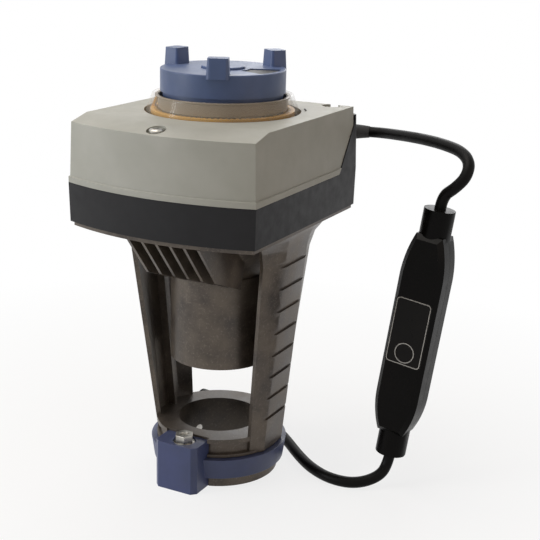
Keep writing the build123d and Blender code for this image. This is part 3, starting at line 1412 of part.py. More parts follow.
with BuildPart() as controller_label:
    with BuildSketch(MIDDLE.offset(FACE_HEIGHT - 0.5)):
        with Locations((0, LABEL_DROP)):
            RectangleRounded(LABEL_WIDTH, LABEL_LENGTH, 2.2)
        with Locations((0, BUTTON_DROP)):
            Circle(BUTTON_RADIUS + RUN_GAP, mode=Mode.SUBTRACT)
    extrude(amount=0.4)
save(controller_label, "controller_label")

CONTROLLER_BOARD_TOP = FACE_HEIGHT - 8.0
BUTTON_BOTTOM = CONTROLLER_BOARD_TOP + BUTTON_TRAVEL + SLIP_GAP + 0.2
with BuildPart() as push_button:
    with BuildSketch(MIDDLE.offset(BUTTON_BOTTOM)):
        with Locations((0, BUTTON_DROP)):
            Circle(BUTTON_RADIUS)
    extrude(amount=FACE_HEIGHT - BUTTON_BOTTOM)
save(push_button, "push_button")

with BuildPart() as controller_board:
    with BuildSketch(MIDDLE.offset(CONTROLLER_BOARD_TOP - 1.6)):
        with Locations((0, -4.0)):
            Rectangle(2 * (CONTROLLER_HALF - CONTROLLER_WALL) - 0.02, 72.0)
    extrude(amount=1.6)
save(controller_board, "controller_board")


# Leads: straight runs joined by tangent arcs
PLUG_AT = (-18.0, 62.5, PLUG_RADIUS)
LEAD_TOP = Vector(*CONTROLLER_AT) + AXIS_VECTOR * HALF_LENGTH
LEAD_BOTTOM = Vector(*CONTROLLER_AT) - AXIS_VECTOR * HALF_LENGTH
UPPER_ROUTE = [
    Vector(ENTRY_X, ENTRY_FACE, ENTRY_Z),
    Vector(ENTRY_X, ENTRY_FACE + 12.0, ENTRY_Z),
    Vector(49.0, 95.0, 208.4),
    Vector(62.0, 98.0, 208.5),
    Vector(81.0, 86.0, 210.5),
    Vector(102.0, 71.0, 212.5),
    Vector(120.0, 58.5, 213.0),
    Vector(135.0, 47.8, 212.0),
    Vector(143.0, 39.5, 207.5),
    Vector(143.2, 34.0, 200.0),
    Vector(137.0, 33.2, 192.8),
    LEAD_TOP + AXIS_VECTOR * 8.0,
    LEAD_TOP,
]
LOWER_ROUTE = [
    LEAD_BOTTOM,
    LEAD_BOTTOM - AXIS_VECTOR * 8.0,
    Vector(107.0, 16.5, 7.8),
    Vector(95.5, 6.5, 4.0),
    Vector(79.0, 4.2, 4.0),
    Vector(61.5, 12.0, 4.0),
    Vector(45.6, 25.1, 4.0),
    Vector(30.0, 40.5, 4.0),
    Vector(15.0, 52.6, 4.8),
    Vector(-2.0, 60.0, PLUG_RADIUS),
    Vector(*PLUG_AT),
]


def lead(name, route):
    """Round lead along a route, each corner an arc as large as its runs allow."""
    radii = []
    for before, corner, after in zip(route, route[1:], route[2:]):
        first = corner - before
        second = after - corner
        half_turn = radians(first.get_angle(second)) / 2
        radii.append(0.45 * min(first.length, second.length) / tan(half_turn))
    print(name, "radii", [round(radius, 1) for radius in radii])
    with BuildPart() as made:
        with BuildLine() as path:
            FilletPolyline(*route, radius=radii)
        start = Plane(route[0], z_dir=(route[1] - route[0]).normalized())
        with BuildSketch(start):
            Circle(CORD_RADIUS)
        sweep(path=path.wires()[0])
    length = path.wires()[0].length
    print(name, "length", round(length, 1))
    save(made, name)


lead("lead_upper", UPPER_ROUTE)
lead("lead_lower", LOWER_ROUTE)

PLUG_PLANE = Plane(PLUG_AT, z_dir=(LOWER_ROUTE[-1] - LOWER_ROUTE[-2]).normalized())
PLUG_LEVEL = Plane(PLUG_AT, z_dir=Vector(PLUG_PLANE.z_dir.X, PLUG_PLANE.z_dir.Y, 0).normalized())
with BuildPart() as plug_body:
    with BuildSketch(PLUG_LEVEL):
        Circle(PLUG_RADIUS - 1.8)
    extrude(amount=10.0)
    with BuildSketch(PLUG_LEVEL.offset(10.0)):
        Circle(PLUG_RADIUS)
    extrude(amount=PLUG_LENGTH - 10.0)
    with BuildSketch(PLUG_LEVEL.offset(PLUG_LENGTH)):
        Circle(PLUG_RADIUS - 1.5)
    extrude(amount=-9.0, mode=Mode.SUBTRACT)
save(plug_body, "plug_body")

with BuildPart() as plug_pins:
    with BuildSketch(PLUG_LEVEL.offset(PLUG_LENGTH - 9.0)):
        with GridLocations(4.6, 4.6, 2, 2):
            Circle(0.8)
    extrude(amount=7.5)
save(plug_pins, "plug_pins")
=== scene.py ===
"""Looks of an electric valve actuator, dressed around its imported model.

The object is a housing with a hand knob on a cast yoke bracket, and a push-button
controller that stands in its lead. Sizes are in millimetres where a name or a
docstring says so, and MM turns them to Blender's metres.
"""

import json
import logging
import math
from collections.abc import Callable, Iterable, Sequence
from dataclasses import dataclass
from enum import Enum

import bpy
from mathutils import Matrix, Vector

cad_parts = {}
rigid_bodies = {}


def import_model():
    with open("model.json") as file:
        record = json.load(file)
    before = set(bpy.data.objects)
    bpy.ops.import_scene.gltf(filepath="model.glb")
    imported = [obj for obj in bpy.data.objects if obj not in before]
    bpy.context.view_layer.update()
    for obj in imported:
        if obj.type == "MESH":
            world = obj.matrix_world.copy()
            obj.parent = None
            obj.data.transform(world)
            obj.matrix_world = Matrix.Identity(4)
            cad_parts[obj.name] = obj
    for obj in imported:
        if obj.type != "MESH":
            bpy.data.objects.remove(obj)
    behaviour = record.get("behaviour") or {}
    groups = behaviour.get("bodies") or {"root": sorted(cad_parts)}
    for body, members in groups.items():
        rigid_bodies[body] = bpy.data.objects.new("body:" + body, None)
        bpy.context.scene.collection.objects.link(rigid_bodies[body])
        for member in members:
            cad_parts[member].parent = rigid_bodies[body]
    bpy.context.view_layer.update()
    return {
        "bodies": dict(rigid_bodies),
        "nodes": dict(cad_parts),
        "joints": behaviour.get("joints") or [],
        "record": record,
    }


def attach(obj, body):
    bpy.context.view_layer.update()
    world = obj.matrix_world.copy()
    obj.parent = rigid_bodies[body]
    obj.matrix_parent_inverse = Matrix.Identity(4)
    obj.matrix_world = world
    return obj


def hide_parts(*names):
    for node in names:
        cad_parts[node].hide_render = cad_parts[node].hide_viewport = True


LOG = logging.getLogger("actuator")
MM = 0.001
Point = tuple[float, float, float]

# Node types that every finish uses, and the colour sockets of a Mix node
NOISE = "ShaderNodeTexNoise"
RANGE = "ShaderNodeMapRange"
MATHS = "ShaderNodeMath"
MIX = "ShaderNodeMix"
BUMP = "ShaderNodeBump"
SHADER = "ShaderNodeBsdfPrincipled"
OUTPUT = "ShaderNodeOutputMaterial"
OF_COLOURS = {"data_type": "RGBA"}
FIRST, SECOND, MIXED = 6, 7, 2
OCTAVE_SHARE = 0.6

# Most of a noise lies in the narrow band, and nearly all of it in the wide one
NARROW_BAND = (0.35, 0.65)
WIDE_BAND = (0.3, 0.7)
WHITE = (1.0, 1.0, 1.0, 1.0)

# Mesh work: lengths in millimetres, angles in degrees
WELD = 0.004
SEAM_WELD = 0.02
SEAM_REACH = 0.01
FLAT_ANGLE = 0.6
SMOOTH_ANGLE = 38.0
FACE_WEIGHT = 70


class Body(Enum):
    """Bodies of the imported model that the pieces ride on."""

    FRAME = "frame"
    KNOB = "hand_knob"
    INDICATOR = "indicator"
    BUTTON = "button"


# Colours and nodes


def linear(colour: str) -> tuple[float, float, float, float]:
    """Turn an sRGB hex colour such as "8a8a8a" to linear values.

    Args:
        colour: six hex digits, red first.

    Returns:
        Linear red, green, blue and an alpha of one.
    """
    channels = [int(colour[start : start + 2], 16) / 255 for start in (0, 2, 4)]
    low, slope, offset, power = 0.04045, 12.92, 0.055, 2.4
    values = [c / slope if c <= low else ((c + offset) / (1 + offset)) ** power for c in channels]
    return (values[0], values[1], values[2], 1.0)


def add_node(
    tree: bpy.types.NodeTree,
    kind: str,
    settings: dict[str, object] | None = None,
    inputs: dict[str | int, object] | None = None,
) -> bpy.types.Node:
    """Add one shader node, set it up and link what feeds it.

    Args:
        tree: the material's or the world's node tree.
        kind: Blender's type name of the node.
        settings: attributes of the node by name.
        inputs: values, output sockets or nodes by the input's name or index, where a
            node stands for its first output.

    Returns:
        The new node.
    """
    node = tree.nodes.new(kind)
    for key, value in (settings or {}).items():
        setattr(node, key, value)
    for key, value in (inputs or {}).items():
        if isinstance(value, bpy.types.Node):
            tree.links.new(value.outputs[0], node.inputs[key])
        elif isinstance(value, bpy.types.NodeSocket):
            tree.links.new(value, node.inputs[key])
        else:
            node.inputs[key].default_value = value
    return node


def blank_material(name: str) -> bpy.types.Material:
    """Make a material whose node tree is empty.

    Args:
        name: the material's name.

    Returns:
        The new material.
    """
    material = bpy.data.materials.new(name)
    material.use_nodes = True
    material.node_tree.nodes.clear()
    return material


def pattern(size: float, detail: float) -> dict[str, float]:
    """Work out a noise pattern from the real size of its lumps.

    Args:
        size: width of one lump in millimetres.
        detail: finer octaves on top of it.

    Returns:
        Noise inputs by name.
    """
    return {"Scale": 1 / (size * MM), "Detail": detail, "Roughness": OCTAVE_SHARE}


def limits(low: float, high: float, start: float = 0.0, end: float = 1.0) -> dict[str, float]:
    """Name the four limits of a mapped range.

    Args:
        low: value that gives start.
        high: value that gives end.
        start: result at the low value.
        end: result at the high value.

    Returns:
        Map Range inputs by name.
    """
    return {"From Min": low, "From Max": high, "To Min": start, "To Max": end}


# Finishes


@dataclass(frozen=True)
class MouldedPlastic:
    """Injection-moulded plastic: fine spark-eroded grain, faint flow tone, satin sheen.

    Faces that look up are mixed towards a lighter colour, partly dust and partly painted top light. The
    sizes of patterns and the depth of the grain are in millimetres.
    """

    name: str
    colour: str
    tone: str
    roughness: float = 0.5
    grain: float = 0.45  # the real grain is near 0.1 mm, drawn coarser so that it shows
    depth: float = 0.03
    ior: float = 1.5
    # Lighter colour for faces that look up, and its greatest share: partly dust, partly painted top
    # light
    dirt_and_top_light: str = "9a948a"
    dirt_and_top_light_share: float = 0.0
    flow_size: float = 38.0
    wear_size: float = 7.0
    strength: float = 0.55
    glossier: float = 0.06
    duller: float = 0.08

    def build(self) -> bpy.types.Material:
        """Make the material.

        Returns:
            The finished material.
        """
        material = blank_material(self.name)
        tree = material.node_tree
        place = add_node(tree, "ShaderNodeTexCoord").outputs["Object"]
        flow = add_node(tree, NOISE, inputs={"Vector": place, **pattern(self.flow_size, 3.0)})
        grain = add_node(tree, NOISE, inputs={"Vector": place, **pattern(self.grain, 2.0)})
        wear = add_node(tree, NOISE, inputs={"Vector": place, **pattern(self.wear_size, 5.0)})
        toned = add_node(tree, RANGE, inputs={"Value": flow, **limits(*NARROW_BAND)})
        clean = add_node(
            tree, MIX, OF_COLOURS, {0: toned, FIRST: linear(self.colour), SECOND: linear(self.tone)}
        )
        facing = add_node(tree, "ShaderNodeNewGeometry").outputs["Normal"]
        up = add_node(tree, "ShaderNodeSeparateXYZ", inputs={0: facing}).outputs["Z"]
        # Painted top light, with dust: faces that look up are mixed towards a lighter colour, more in
        # some patches
        level = add_node(tree, RANGE, inputs={"Value": up, **limits(0.5, 1.0, 0.0, self.dirt_and_top_light_share)})
        patchy = add_node(tree, RANGE, inputs={"Value": wear, **limits(0.4, 0.75, 0.2, 1.0)})
        dirt_and_top_light_mask = add_node(tree, MATHS, {"operation": "MULTIPLY"}, {0: level, 1: patchy})
        dirt_and_top_light_mixed = add_node(
            tree, MIX, OF_COLOURS, {0: dirt_and_top_light_mask, FIRST: clean.outputs[MIXED], SECOND: linear(self.dirt_and_top_light)}
        )
        sheen = limits(*WIDE_BAND, self.roughness - self.glossier, self.roughness + self.duller)
        rough = add_node(tree, RANGE, inputs={"Value": wear, **sheen})
        bump = add_node(
            tree, BUMP, inputs={"Strength": self.strength, "Distance": self.depth * MM, "Height": grain}
        )
        surface = add_node(
            tree,
            SHADER,
            inputs={
                "Base Color": dirt_and_top_light_mixed.outputs[MIXED],
                "Roughness": rough,
                "IOR": self.ior,
                "Normal": bump,
            },
        )
        add_node(tree, OUTPUT, inputs={"Surface": surface})
        return material


@dataclass(frozen=True)
class CastMetal:
    """Pressure die cast metal: warm grey skin with flow marks, small pits and brighter flecks.

    The sizes of patterns and the depth of the pits are in millimetres.
    """

    name: str
    colour: str
    shade: str
    bright: str
    roughness: float = 0.5
    metallic: float = 0.85
    flow_size: float = 22.0
    skin_size: float = 1.3
    pit_size: float = 1.9
    flecks: float = 0.55
    strength: float = 0.5
    depth: float = 0.09
    uneven: float = 0.1

    def build(self) -> bpy.types.Material:
        """Make the material.

        Returns:
            The finished material.
        """
        material = blank_material(self.name)
        tree = material.node_tree
        place = add_node(tree, "ShaderNodeTexCoord").outputs["Object"]
        flow = add_node(tree, NOISE, inputs={"Vector": place, **pattern(self.flow_size, 5.0)})
        skin = add_node(tree, NOISE, inputs={"Vector": place, **pattern(self.skin_size, 4.0)})
        pits = add_node(
            tree,
            "ShaderNodeTexVoronoi",
            {"feature": "F1"},
            {"Vector": place, "Scale": 1 / (self.pit_size * MM), "Randomness": 1.0},
        )
        marked = add_node(tree, RANGE, inputs={"Value": flow, **limits(*NARROW_BAND)})
        grey = add_node(
            tree, MIX, OF_COLOURS, {0: marked, FIRST: linear(self.shade), SECOND: linear(self.colour)}
        )
        fleck = add_node(tree, RANGE, inputs={"Value": skin, **limits(0.55, 0.8, 0.0, self.flecks)})
        colour = add_node(
            tree, MIX, OF_COLOURS, {0: fleck, FIRST: grey.outputs[MIXED], SECOND: linear(self.bright)}
        )
        pit = add_node(tree, RANGE, inputs={"Value": pits, **limits(0.0, 0.22)})
        height = add_node(tree, MATHS, {"operation": "MULTIPLY_ADD"}, {0: pit, 1: 0.5, 2: skin})
        sheen = limits(*WIDE_BAND, self.roughness - self.uneven, self.roughness + self.uneven)
        rough = add_node(tree, RANGE, inputs={"Value": flow, **sheen})
        bump = add_node(
            tree, BUMP, inputs={"Strength": self.strength, "Distance": self.depth * MM, "Height": height}
        )
        surface = add_node(
            tree,
            SHADER,
            inputs={
                "Base Color": colour.outputs[MIXED],
                "Metallic": self.metallic,
                "Roughness": rough,
                "Normal": bump,
            },
        )
        add_node(tree, OUTPUT, inputs={"Surface": surface})
        return material


@dataclass(frozen=True)
class WorkedMetal:
    """Turned, drawn or plated metal: fine tool lines across one axis and soft tarnish.

    The sizes of patterns and the depth of the lines are in millimetres.
    """

    name: str
    colour: str
    shade: str
    roughness: float = 0.28
    lines: float = 0.35  # turning feed
    stretch: Point = (0.02, 0.02, 1.0)
    depth: float = 0.012
    tarnish_size: float = 6.0
    strength: float = 0.5
    glossier: float = 0.06
    duller: float = 0.1

    def build(self) -> bpy.types.Material:
        """Make the material.

        Returns:
            The finished material.
        """
        material = blank_material(self.name)
        tree = material.node_tree
        place = add_node(tree, "ShaderNodeTexCoord").outputs["Object"]
        along = add_node(tree, "ShaderNodeMapping", inputs={"Vector": place, "Scale": self.stretch})
        lines = add_node(tree, NOISE, inputs={"Vector": along, **pattern(self.lines, 2.0)})
        tarnish = add_node(tree, NOISE, inputs={"Vector": place, **pattern(self.tarnish_size, 4.0)})
        dulled = add_node(tree, RANGE, inputs={"Value": tarnish, **limits(0.4, 0.7)})
        colour = add_node(
            tree, MIX, OF_COLOURS, {0: dulled, FIRST: linear(self.colour), SECOND: linear(self.shade)}
        )
        sheen = limits(*WIDE_BAND, self.roughness - self.glossier, self.roughness + self.duller)
        rough = add_node(tree, RANGE, inputs={"Value": tarnish, **sheen})
        bump = add_node(
            tree, BUMP, inputs={"Strength": self.strength, "Distance": self.depth * MM, "Height": lines}
        )
        surface = add_node(
            tree,
            SHADER,
            inputs={
                "Base Color": colour.outputs[MIXED],
                "Metallic": 1.0,
                "Roughness": rough,
                "Normal": bump,
            },
        )
        add_node(tree, OUTPUT, inputs={"Surface": surface})
        return material


@dataclass(frozen=True)
class ClearPlastic:
    """Thin moulded polycarbonate with a warm tint: see-through, glossy, faintly wavy and hazy.

    The size and depth of the waves are in millimetres.
    """

    name: str
    colour: str
    haze: float = 0.17
    roughness: float = 0.1
    ior: float = 1.58
    wave_size: float = 9.0
    strength: float = 0.3
    depth: float = 0.1

    def build(self) -> bpy.types.Material:
        """Make the material.

        Returns:
            The finished material.
        """
        material = blank_material(self.name)
        tree = material.node_tree
        place = add_node(tree, "ShaderNodeTexCoord").outputs["Object"]
        wave = add_node(tree, NOISE, inputs={"Vector": place, **pattern(self.wave_size, 2.0)})
        bump = add_node(
            tree, BUMP, inputs={"Strength": self.strength, "Distance": self.depth * MM, "Height": wave}
        )
        surface = add_node(
            tree,
            SHADER,
            inputs={
                "Base Color": linear(self.colour),
                "Roughness": self.roughness,
                "IOR": self.ior,
                "Alpha": self.haze,
                "Normal": bump,
            },
        )
        add_node(tree, OUTPUT, inputs={"Surface": surface})
        return material


Finish = MouldedPlastic | CastMetal | WorkedMetal | ClearPlastic

# Filled polycarbonate, moulded: milky and softly glossy, painted a darker brown grey as painted shade
# from the knob above
SLEEVE = MouldedPlastic("milky_polycarbonate", "8f8474", "827768", 0.4, 0.9, 0.01)
# Aluminium, pressure die cast and left raw: dull warm grey with a slight grain
CASTING = CastMetal("die_cast_aluminium", "62594f", "3f3833", "8a8077", 0.4, 0.3)
# Glass-filled polyamide, moulded: near black and matt, a trace lighter on its top faces
DARK_HOUSING = MouldedPlastic(
    "black_glass_filled_polyamide", "202022", "1b1a1c", 0.5, ior=1.3, dirt_and_top_light_share=0.02
)
# ABS, moulded: warm light grey with a fine even texture
PALE_HOUSING = MouldedPlastic("warm_grey_abs", "aeaea6", "a4a49b", 0.5)
# ABS dyed blue grey: satin from handling, with a painted highlight in lighter blue grey on its top faces
KNOB_BLUE = MouldedPlastic("blue_grey_abs", "4a5c86", "425377", 0.42, dirt_and_top_light="9aa0ac", dirt_and_top_light_share=0.2)
# Polypropylene, moulded: dark matt panel let into the knob, with a faint painted highlight in lighter
# grey on its top
KNOB_PANEL = MouldedPlastic("dark_polypropylene", "2b2b2c", "242425", 0.55, dirt_and_top_light="5d5d5d", dirt_and_top_light_share=0.05)
# Acetal, moulded: waxy off-white gears
ACETAL = MouldedPlastic("natural_acetal", "d9d6c8", "cbc7b6", 0.35, 0.6, 0.01)
# ABS dyed signal yellow: even and rather glossy
POINTER_YELLOW = MouldedPlastic("signal_yellow_abs", "f2b400", "e6a600", 0.36, 0.6, 0.01)
# Polycarbonate, moulded: brown grey dish under the clear lens
GREY_DIAL = MouldedPlastic("grey_polycarbonate_dial", "6b5f50", "5d5246", 0.5)
# Powder paint over cast iron: orange peel under a satin film, with a painted highlight in lighter blue
# grey on its top faces
CLAMP_PAINT = MouldedPlastic(
    "blue_grey_powder_paint", "424c78", "394368", 0.4, 1.3, 0.1, dirt_and_top_light="8b8f9a", dirt_and_top_light_share=0.2
)
# Nitrile rubber, moulded: matt black
SEAL = MouldedPlastic("nitrile_seal", "1c1c1c", "232221", 0.7, 0.6, 0.02)
# PVC, extruded: satin black jacket with faint waves
JACKET = MouldedPlastic("black_pvc_jacket", "100f0e", "0b0a0a", 0.42, 1.1, 0.05, 1.18)
# ABS half shells, moulded: satin black
CONTROLLER_BLACK = MouldedPlastic("black_abs_shell", "0d0b0a", "080706", 0.28, 0.4, 0.02, 1.16)
# Polyester film, screen-printed: flat even black over the face
LABEL_FILM = MouldedPlastic("black_polyester_film", "0d0b0a", "110f0d", 0.32, 0.8, 0.008, 1.2)
# Printing ink: thin flat light grey
PRINT_GREY = MouldedPlastic("light_grey_print", "a9a7a3", "9b9995", 0.5, 0.8, 0.005)
# Polyamide, moulded: plain mid grey terminal and switch bodies
TERMINALS = MouldedPlastic("grey_terminal_plastic", "4a4b4c", "404142", 0.5)
# Epoxy board under solder mask: glossy dark green
SOLDER_MASK = MouldedPlastic("green_solder_mask", "1f4a2c", "183c23", 0.35, 0.8, 0.01)
# Glass-filled polyamide, moulded: matt mid grey
SHAFT_GREY = MouldedPlastic("grey_glass_filled_shaft", "5a5a5a", "4d4d4c", 0.5)
# Stainless steel, turned: ring lines round the axis
STEM_STEEL = WorkedMetal("turned_stainless_steel", "b9b6b1", "97938d", 0.24)
# Steel, zinc-plated: bright screws with cloudy patches
ZINC = WorkedMetal("zinc_plated_steel", "b4b2ac", "8f8a80", 0.3, 0.5, (1.0, 1.0, 1.0), 0.01)
# Steel sheet, rolled: straight fine lines
SHEET = WorkedMetal("rolled_steel_sheet", "a3a19b", "8c8982", 0.36, 0.3, (1.0, 0.02, 0.02))
# Bronze, sintered: dull brown gold, slightly porous
BRONZE = WorkedMetal("sintered_bronze", "a9823f", "8c6a33", 0.42, 0.4, (1.0, 1.0, 1.0), 0.03)
# Brass, turned: warm yellow with ring lines
BRASS = WorkedMetal("turned_brass", "c8a254", "a9853e", 0.25)
# Contact pins, plated: pale gold
CONTACTS = WorkedMetal("tinned_contacts", "c9b26a", "b39c55", 0.25)
# Polycarbonate, moulded thin: clear and glossy with a warm haze
LENS = ClearPlastic("amber_polycarbonate", "cfc3ae")


# Mesh work


def only(piece: bpy.types.Object) -> None:
    """Select one object alone and make it active.

    Args:
        piece: the object.
    """
    bpy.ops.object.select_all(action="DESELECT")
    piece.select_set(True)
    bpy.context.view_layer.objects.active = piece


def in_edit(piece: bpy.types.Object, work: Callable[[], None]) -> None:
    """Run operators in edit mode on all of a piece.

    Args:
        piece: the mesh that is edited.
        work: what is done there.
    """
    only(piece)
    bpy.ops.object.mode_set(mode="EDIT")
    bpy.ops.mesh.select_all(action="SELECT")
    work()
    bpy.ops.object.mode_set(mode="OBJECT")


def clean_up(piece: bpy.types.Object, weld: float = WELD, flat: float = FLAT_ANGLE) -> None:
    """Merge a mesh's doubles and take away the edges inside its flat faces.

    Args:
        piece: the mesh.
        weld: points closer than this many millimetres become one.
        flat: faces that turn by fewer degrees become one.
    """
    in_edit(piece, lambda: bpy.ops.mesh.remove_doubles(threshold=weld * MM))
    in_edit(piece, lambda: bpy.ops.mesh.dissolve_limited(angle_limit=math.radians(flat)))


def welded_copy(node: bpy.types.Object, name: str) -> bpy.types.Object:
    """Copy a CAD node and weld its loose triangles to clean flat faces.

    Args:
        node: the CAD node.
        name: name of the new piece.

    Returns:
        The copy, with no material and no custom normals.
    """
    piece = bpy.data.objects.new(name, node.data.copy())
    bpy.context.scene.collection.objects.link(piece)
    piece.data.materials.clear()
    only(piece)
    if piece.data.has_custom_normals:
        bpy.ops.mesh.customdata_custom_splitnormals_clear()
    clean_up(piece)
    return piece


def finish_with(piece: bpy.types.Object, kind: str, **settings: object) -> None:
    """Add a modifier, set it up and apply it.

    Args:
        piece: the mesh.
        kind: the modifier's type.
        settings: its settings by name.
    """
    only(piece)
    modifier = piece.modifiers.new(kind.title(), kind)
    for key, value in settings.items():
        setattr(modifier, key, value)
    bpy.ops.object.modifier_apply(modifier=modifier.name)


def round_edges(
    piece: bpy.types.Object, width: float, segments: int = 3, angle: float = 32.0
) -> None:
    """Round a piece's sharp edges and smooth the rest.

    Args:
        piece: the mesh.
        width: width of the rounding in millimetres.
        segments: faces across the rounding.
        angle: edges sharper than this many degrees are rounded.
    """
    finish_with(
        piece,
        "BEVEL",
        width=width * MM,
        segments=segments,
        limit_method="ANGLE",
        angle_limit=math.radians(angle),
        use_clamp_overlap=True,
    )
    only(piece)
    bpy.ops.object.shade_smooth_by_angle(angle=math.radians(SMOOTH_ANGLE))
    finish_with(piece, "WEIGHTED_NORMAL", keep_sharp=True, weight=FACE_WEIGHT)


def settle(piece: bpy.types.Object) -> None:
    """Move an object's place into its mesh.

    Args:
        piece: the object.
    """
    only(piece)
    bpy.ops.object.transform_apply(location=True, rotation=True, scale=True)


def open_seams(piece: bpy.types.Object, levels: Sequence[float]) -> None:
    """Take away the level faces of a piece at some heights, where copies of its nodes meet.

    Args:
        piece: the joined mesh.
        levels: heights in millimetres.
    """
    in_edit(piece, lambda: bpy.ops.mesh.select_mode(type="FACE"))
    in_edit(piece, lambda: bpy.ops.mesh.select_all(action="DESELECT"))
    for face in piece.data.polygons:
        face.select = any(abs(face.center.z - level * MM) < SEAM_REACH * MM for level in levels)
    only(piece)
    bpy.ops.object.mode_set(mode="EDIT")
    bpy.ops.mesh.delete(type="FACE")
    bpy.ops.mesh.select_mode(type="VERT")
    bpy.ops.object.mode_set(mode="OBJECT")


def join_up(pieces: Sequence[bpy.types.Object]) -> bpy.types.Object:
    """Join pieces to the first of them.

    Args:
        pieces: the meshes.

    Returns:
        The joined mesh.
    """
    only(pieces[0])
    for piece in pieces:
        piece.select_set(True)
    bpy.ops.object.join()
    return pieces[0]


def placed_on(piece: bpy.types.Object, name: str, place: Matrix) -> bpy.types.Object:
    """Name a piece made at the origin and move its mesh to a place.

    Args:
        piece: the new piece.
        name: its name.
        place: where it goes, in metres.

    Returns:
        The piece.
    """
    piece.name = name
    piece.matrix_world = place @ piece.matrix_world
    settle(piece)
    return piece


def cut_middle(line: float) -> None:
    """Cut the middle out of the flat face in edit mode, so that a line stays round it.

    Args:
        line: width of the line in millimetres.
    """
    bpy.ops.mesh.select_mode(type="FACE")
    bpy.ops.mesh.select_all(action="SELECT")
    bpy.ops.mesh.inset(thickness=line * MM)
    bpy.ops.mesh.delete(type="FACE")
    bpy.ops.mesh.select_mode(type="VERT")


def raised_line(piece: bpy.types.Object, line: float, depth: float) -> bpy.types.Object:
    """Make a flat face a closed band along its edge and give it a thickness.

    Args:
        piece: a mesh of one level face.
        line: width of the band in millimetres.
        depth: its thickness in millimetres.

    Returns:
        The piece.
    """
    in_edit(piece, lambda: cut_middle(line))
    finish_with(piece, "SOLIDIFY", thickness=depth * MM, offset=1.0)
    return piece


def round_line(width: float, line: float, depth: float) -> bpy.types.Object:
    """Make a flat ring, level at the origin.

    Args:
        width: outer diameter in millimetres.
        line: width of the ring's band in millimetres.
        depth: its thickness in millimetres.

    Returns:
        The piece.
    """
    bpy.ops.mesh.primitive_circle_add(vertices=72, radius=width / 2 * MM, fill_type="NGON")
    return raised_line(bpy.context.active_object, line, depth)


def frame_line(
    width: float, height: float, corner: float, line: float, depth: float
) -> bpy.types.Object:
    """Make a flat frame with round corners, level at the origin.

    Args:
        width: outer width in millimetres.
        height: outer height in millimetres.
        corner: radius of the corners in millimetres.
        line: width of the frame's band in millimetres.
        depth: its thickness in millimetres.

    Returns:
        The piece.
    """
    bpy.ops.mesh.primitive_plane_add(size=MM)
    piece = bpy.context.active_object
    piece.scale = (width, height, 1.0)
    settle(piece)
    rounding = {"offset": corner * MM, "segments": 6, "affect": "VERTICES", "clamp_overlap": True}
    in_edit(piece, lambda: bpy.ops.mesh.bevel(**rounding))
    return raised_line(piece, line, depth)


def dressed(
    piece: bpy.types.Object,
    material: bpy.types.Material,
    body: Body,
    stands_for: Sequence[str] = (),
) -> bpy.types.Object:
    """Give a piece its finish, body and slot.

    Args:
        piece: the finished mesh or curve.
        material: its material.
        body: the body it rides on.
        stands_for: CAD nodes that it replaces.

    Returns:
        The piece.
    """
    piece.data.materials.clear()
    piece.data.materials.append(material)
    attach(piece, body.value)
    if stands_for:
        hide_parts(*stands_for)
    LOG.info("%s rides on %s", piece.name, body.value)
    return piece


class Workshop:
    """The frame's nodes and the materials made so far."""

    def __init__(self, frame: dict) -> None:
        """Keep the loaded frame.
        """
        self.nodes: dict[str, bpy.types.Object] = frame["nodes"]
        self.made: dict[str, bpy.types.Material] = {}

    def finish(self, kind: Finish) -> bpy.types.Material:
        """Give the material of a finish, made once.

        Args:
            kind: the finish.

        Returns:
            Its material.
        """
        if kind.name not in self.made:
            self.made[kind.name] = kind.build()
        return self.made[kind.name]

    def paint(self, kind: Finish, *names: str) -> None:
        """Give CAD nodes that keep their own mesh a finish.

        Args:
            kind: the finish.
            names: the nodes.
        """
        material = self.finish(kind)
        for name in names:
            node = self.nodes[name]
            node.data.materials.clear()
            node.data.materials.append(material)
            LOG.info("%s keeps its mesh, in %s", name, kind.name)

    def softened(
        self,
        node: str,
        name: str,
        kind: Finish,
        body: Body,
        width: float,
        segments: int = 3,
    ) -> bpy.types.Object:
        """Replace a CAD node by a welded copy whose edges are rounded.

        Args:
            node: the CAD node.
            name: name of the piece.
            kind: its finish.
            body: the body it rides on.
            width: width of the rounding in millimetres.
            segments: faces across the rounding.

        Returns:
            The piece.
        """
        piece = welded_copy(self.nodes[node], name)
        round_edges(piece, width, segments)
        return dressed(piece, self.finish(kind), body, [node])


# Stage


@dataclass(frozen=True)
class Lamp:
    """Square soft lamp: its place and side in millimetres, its power in watts, its colour."""

    name: str
    place: Point
    side: float
    power: float
    tint: str


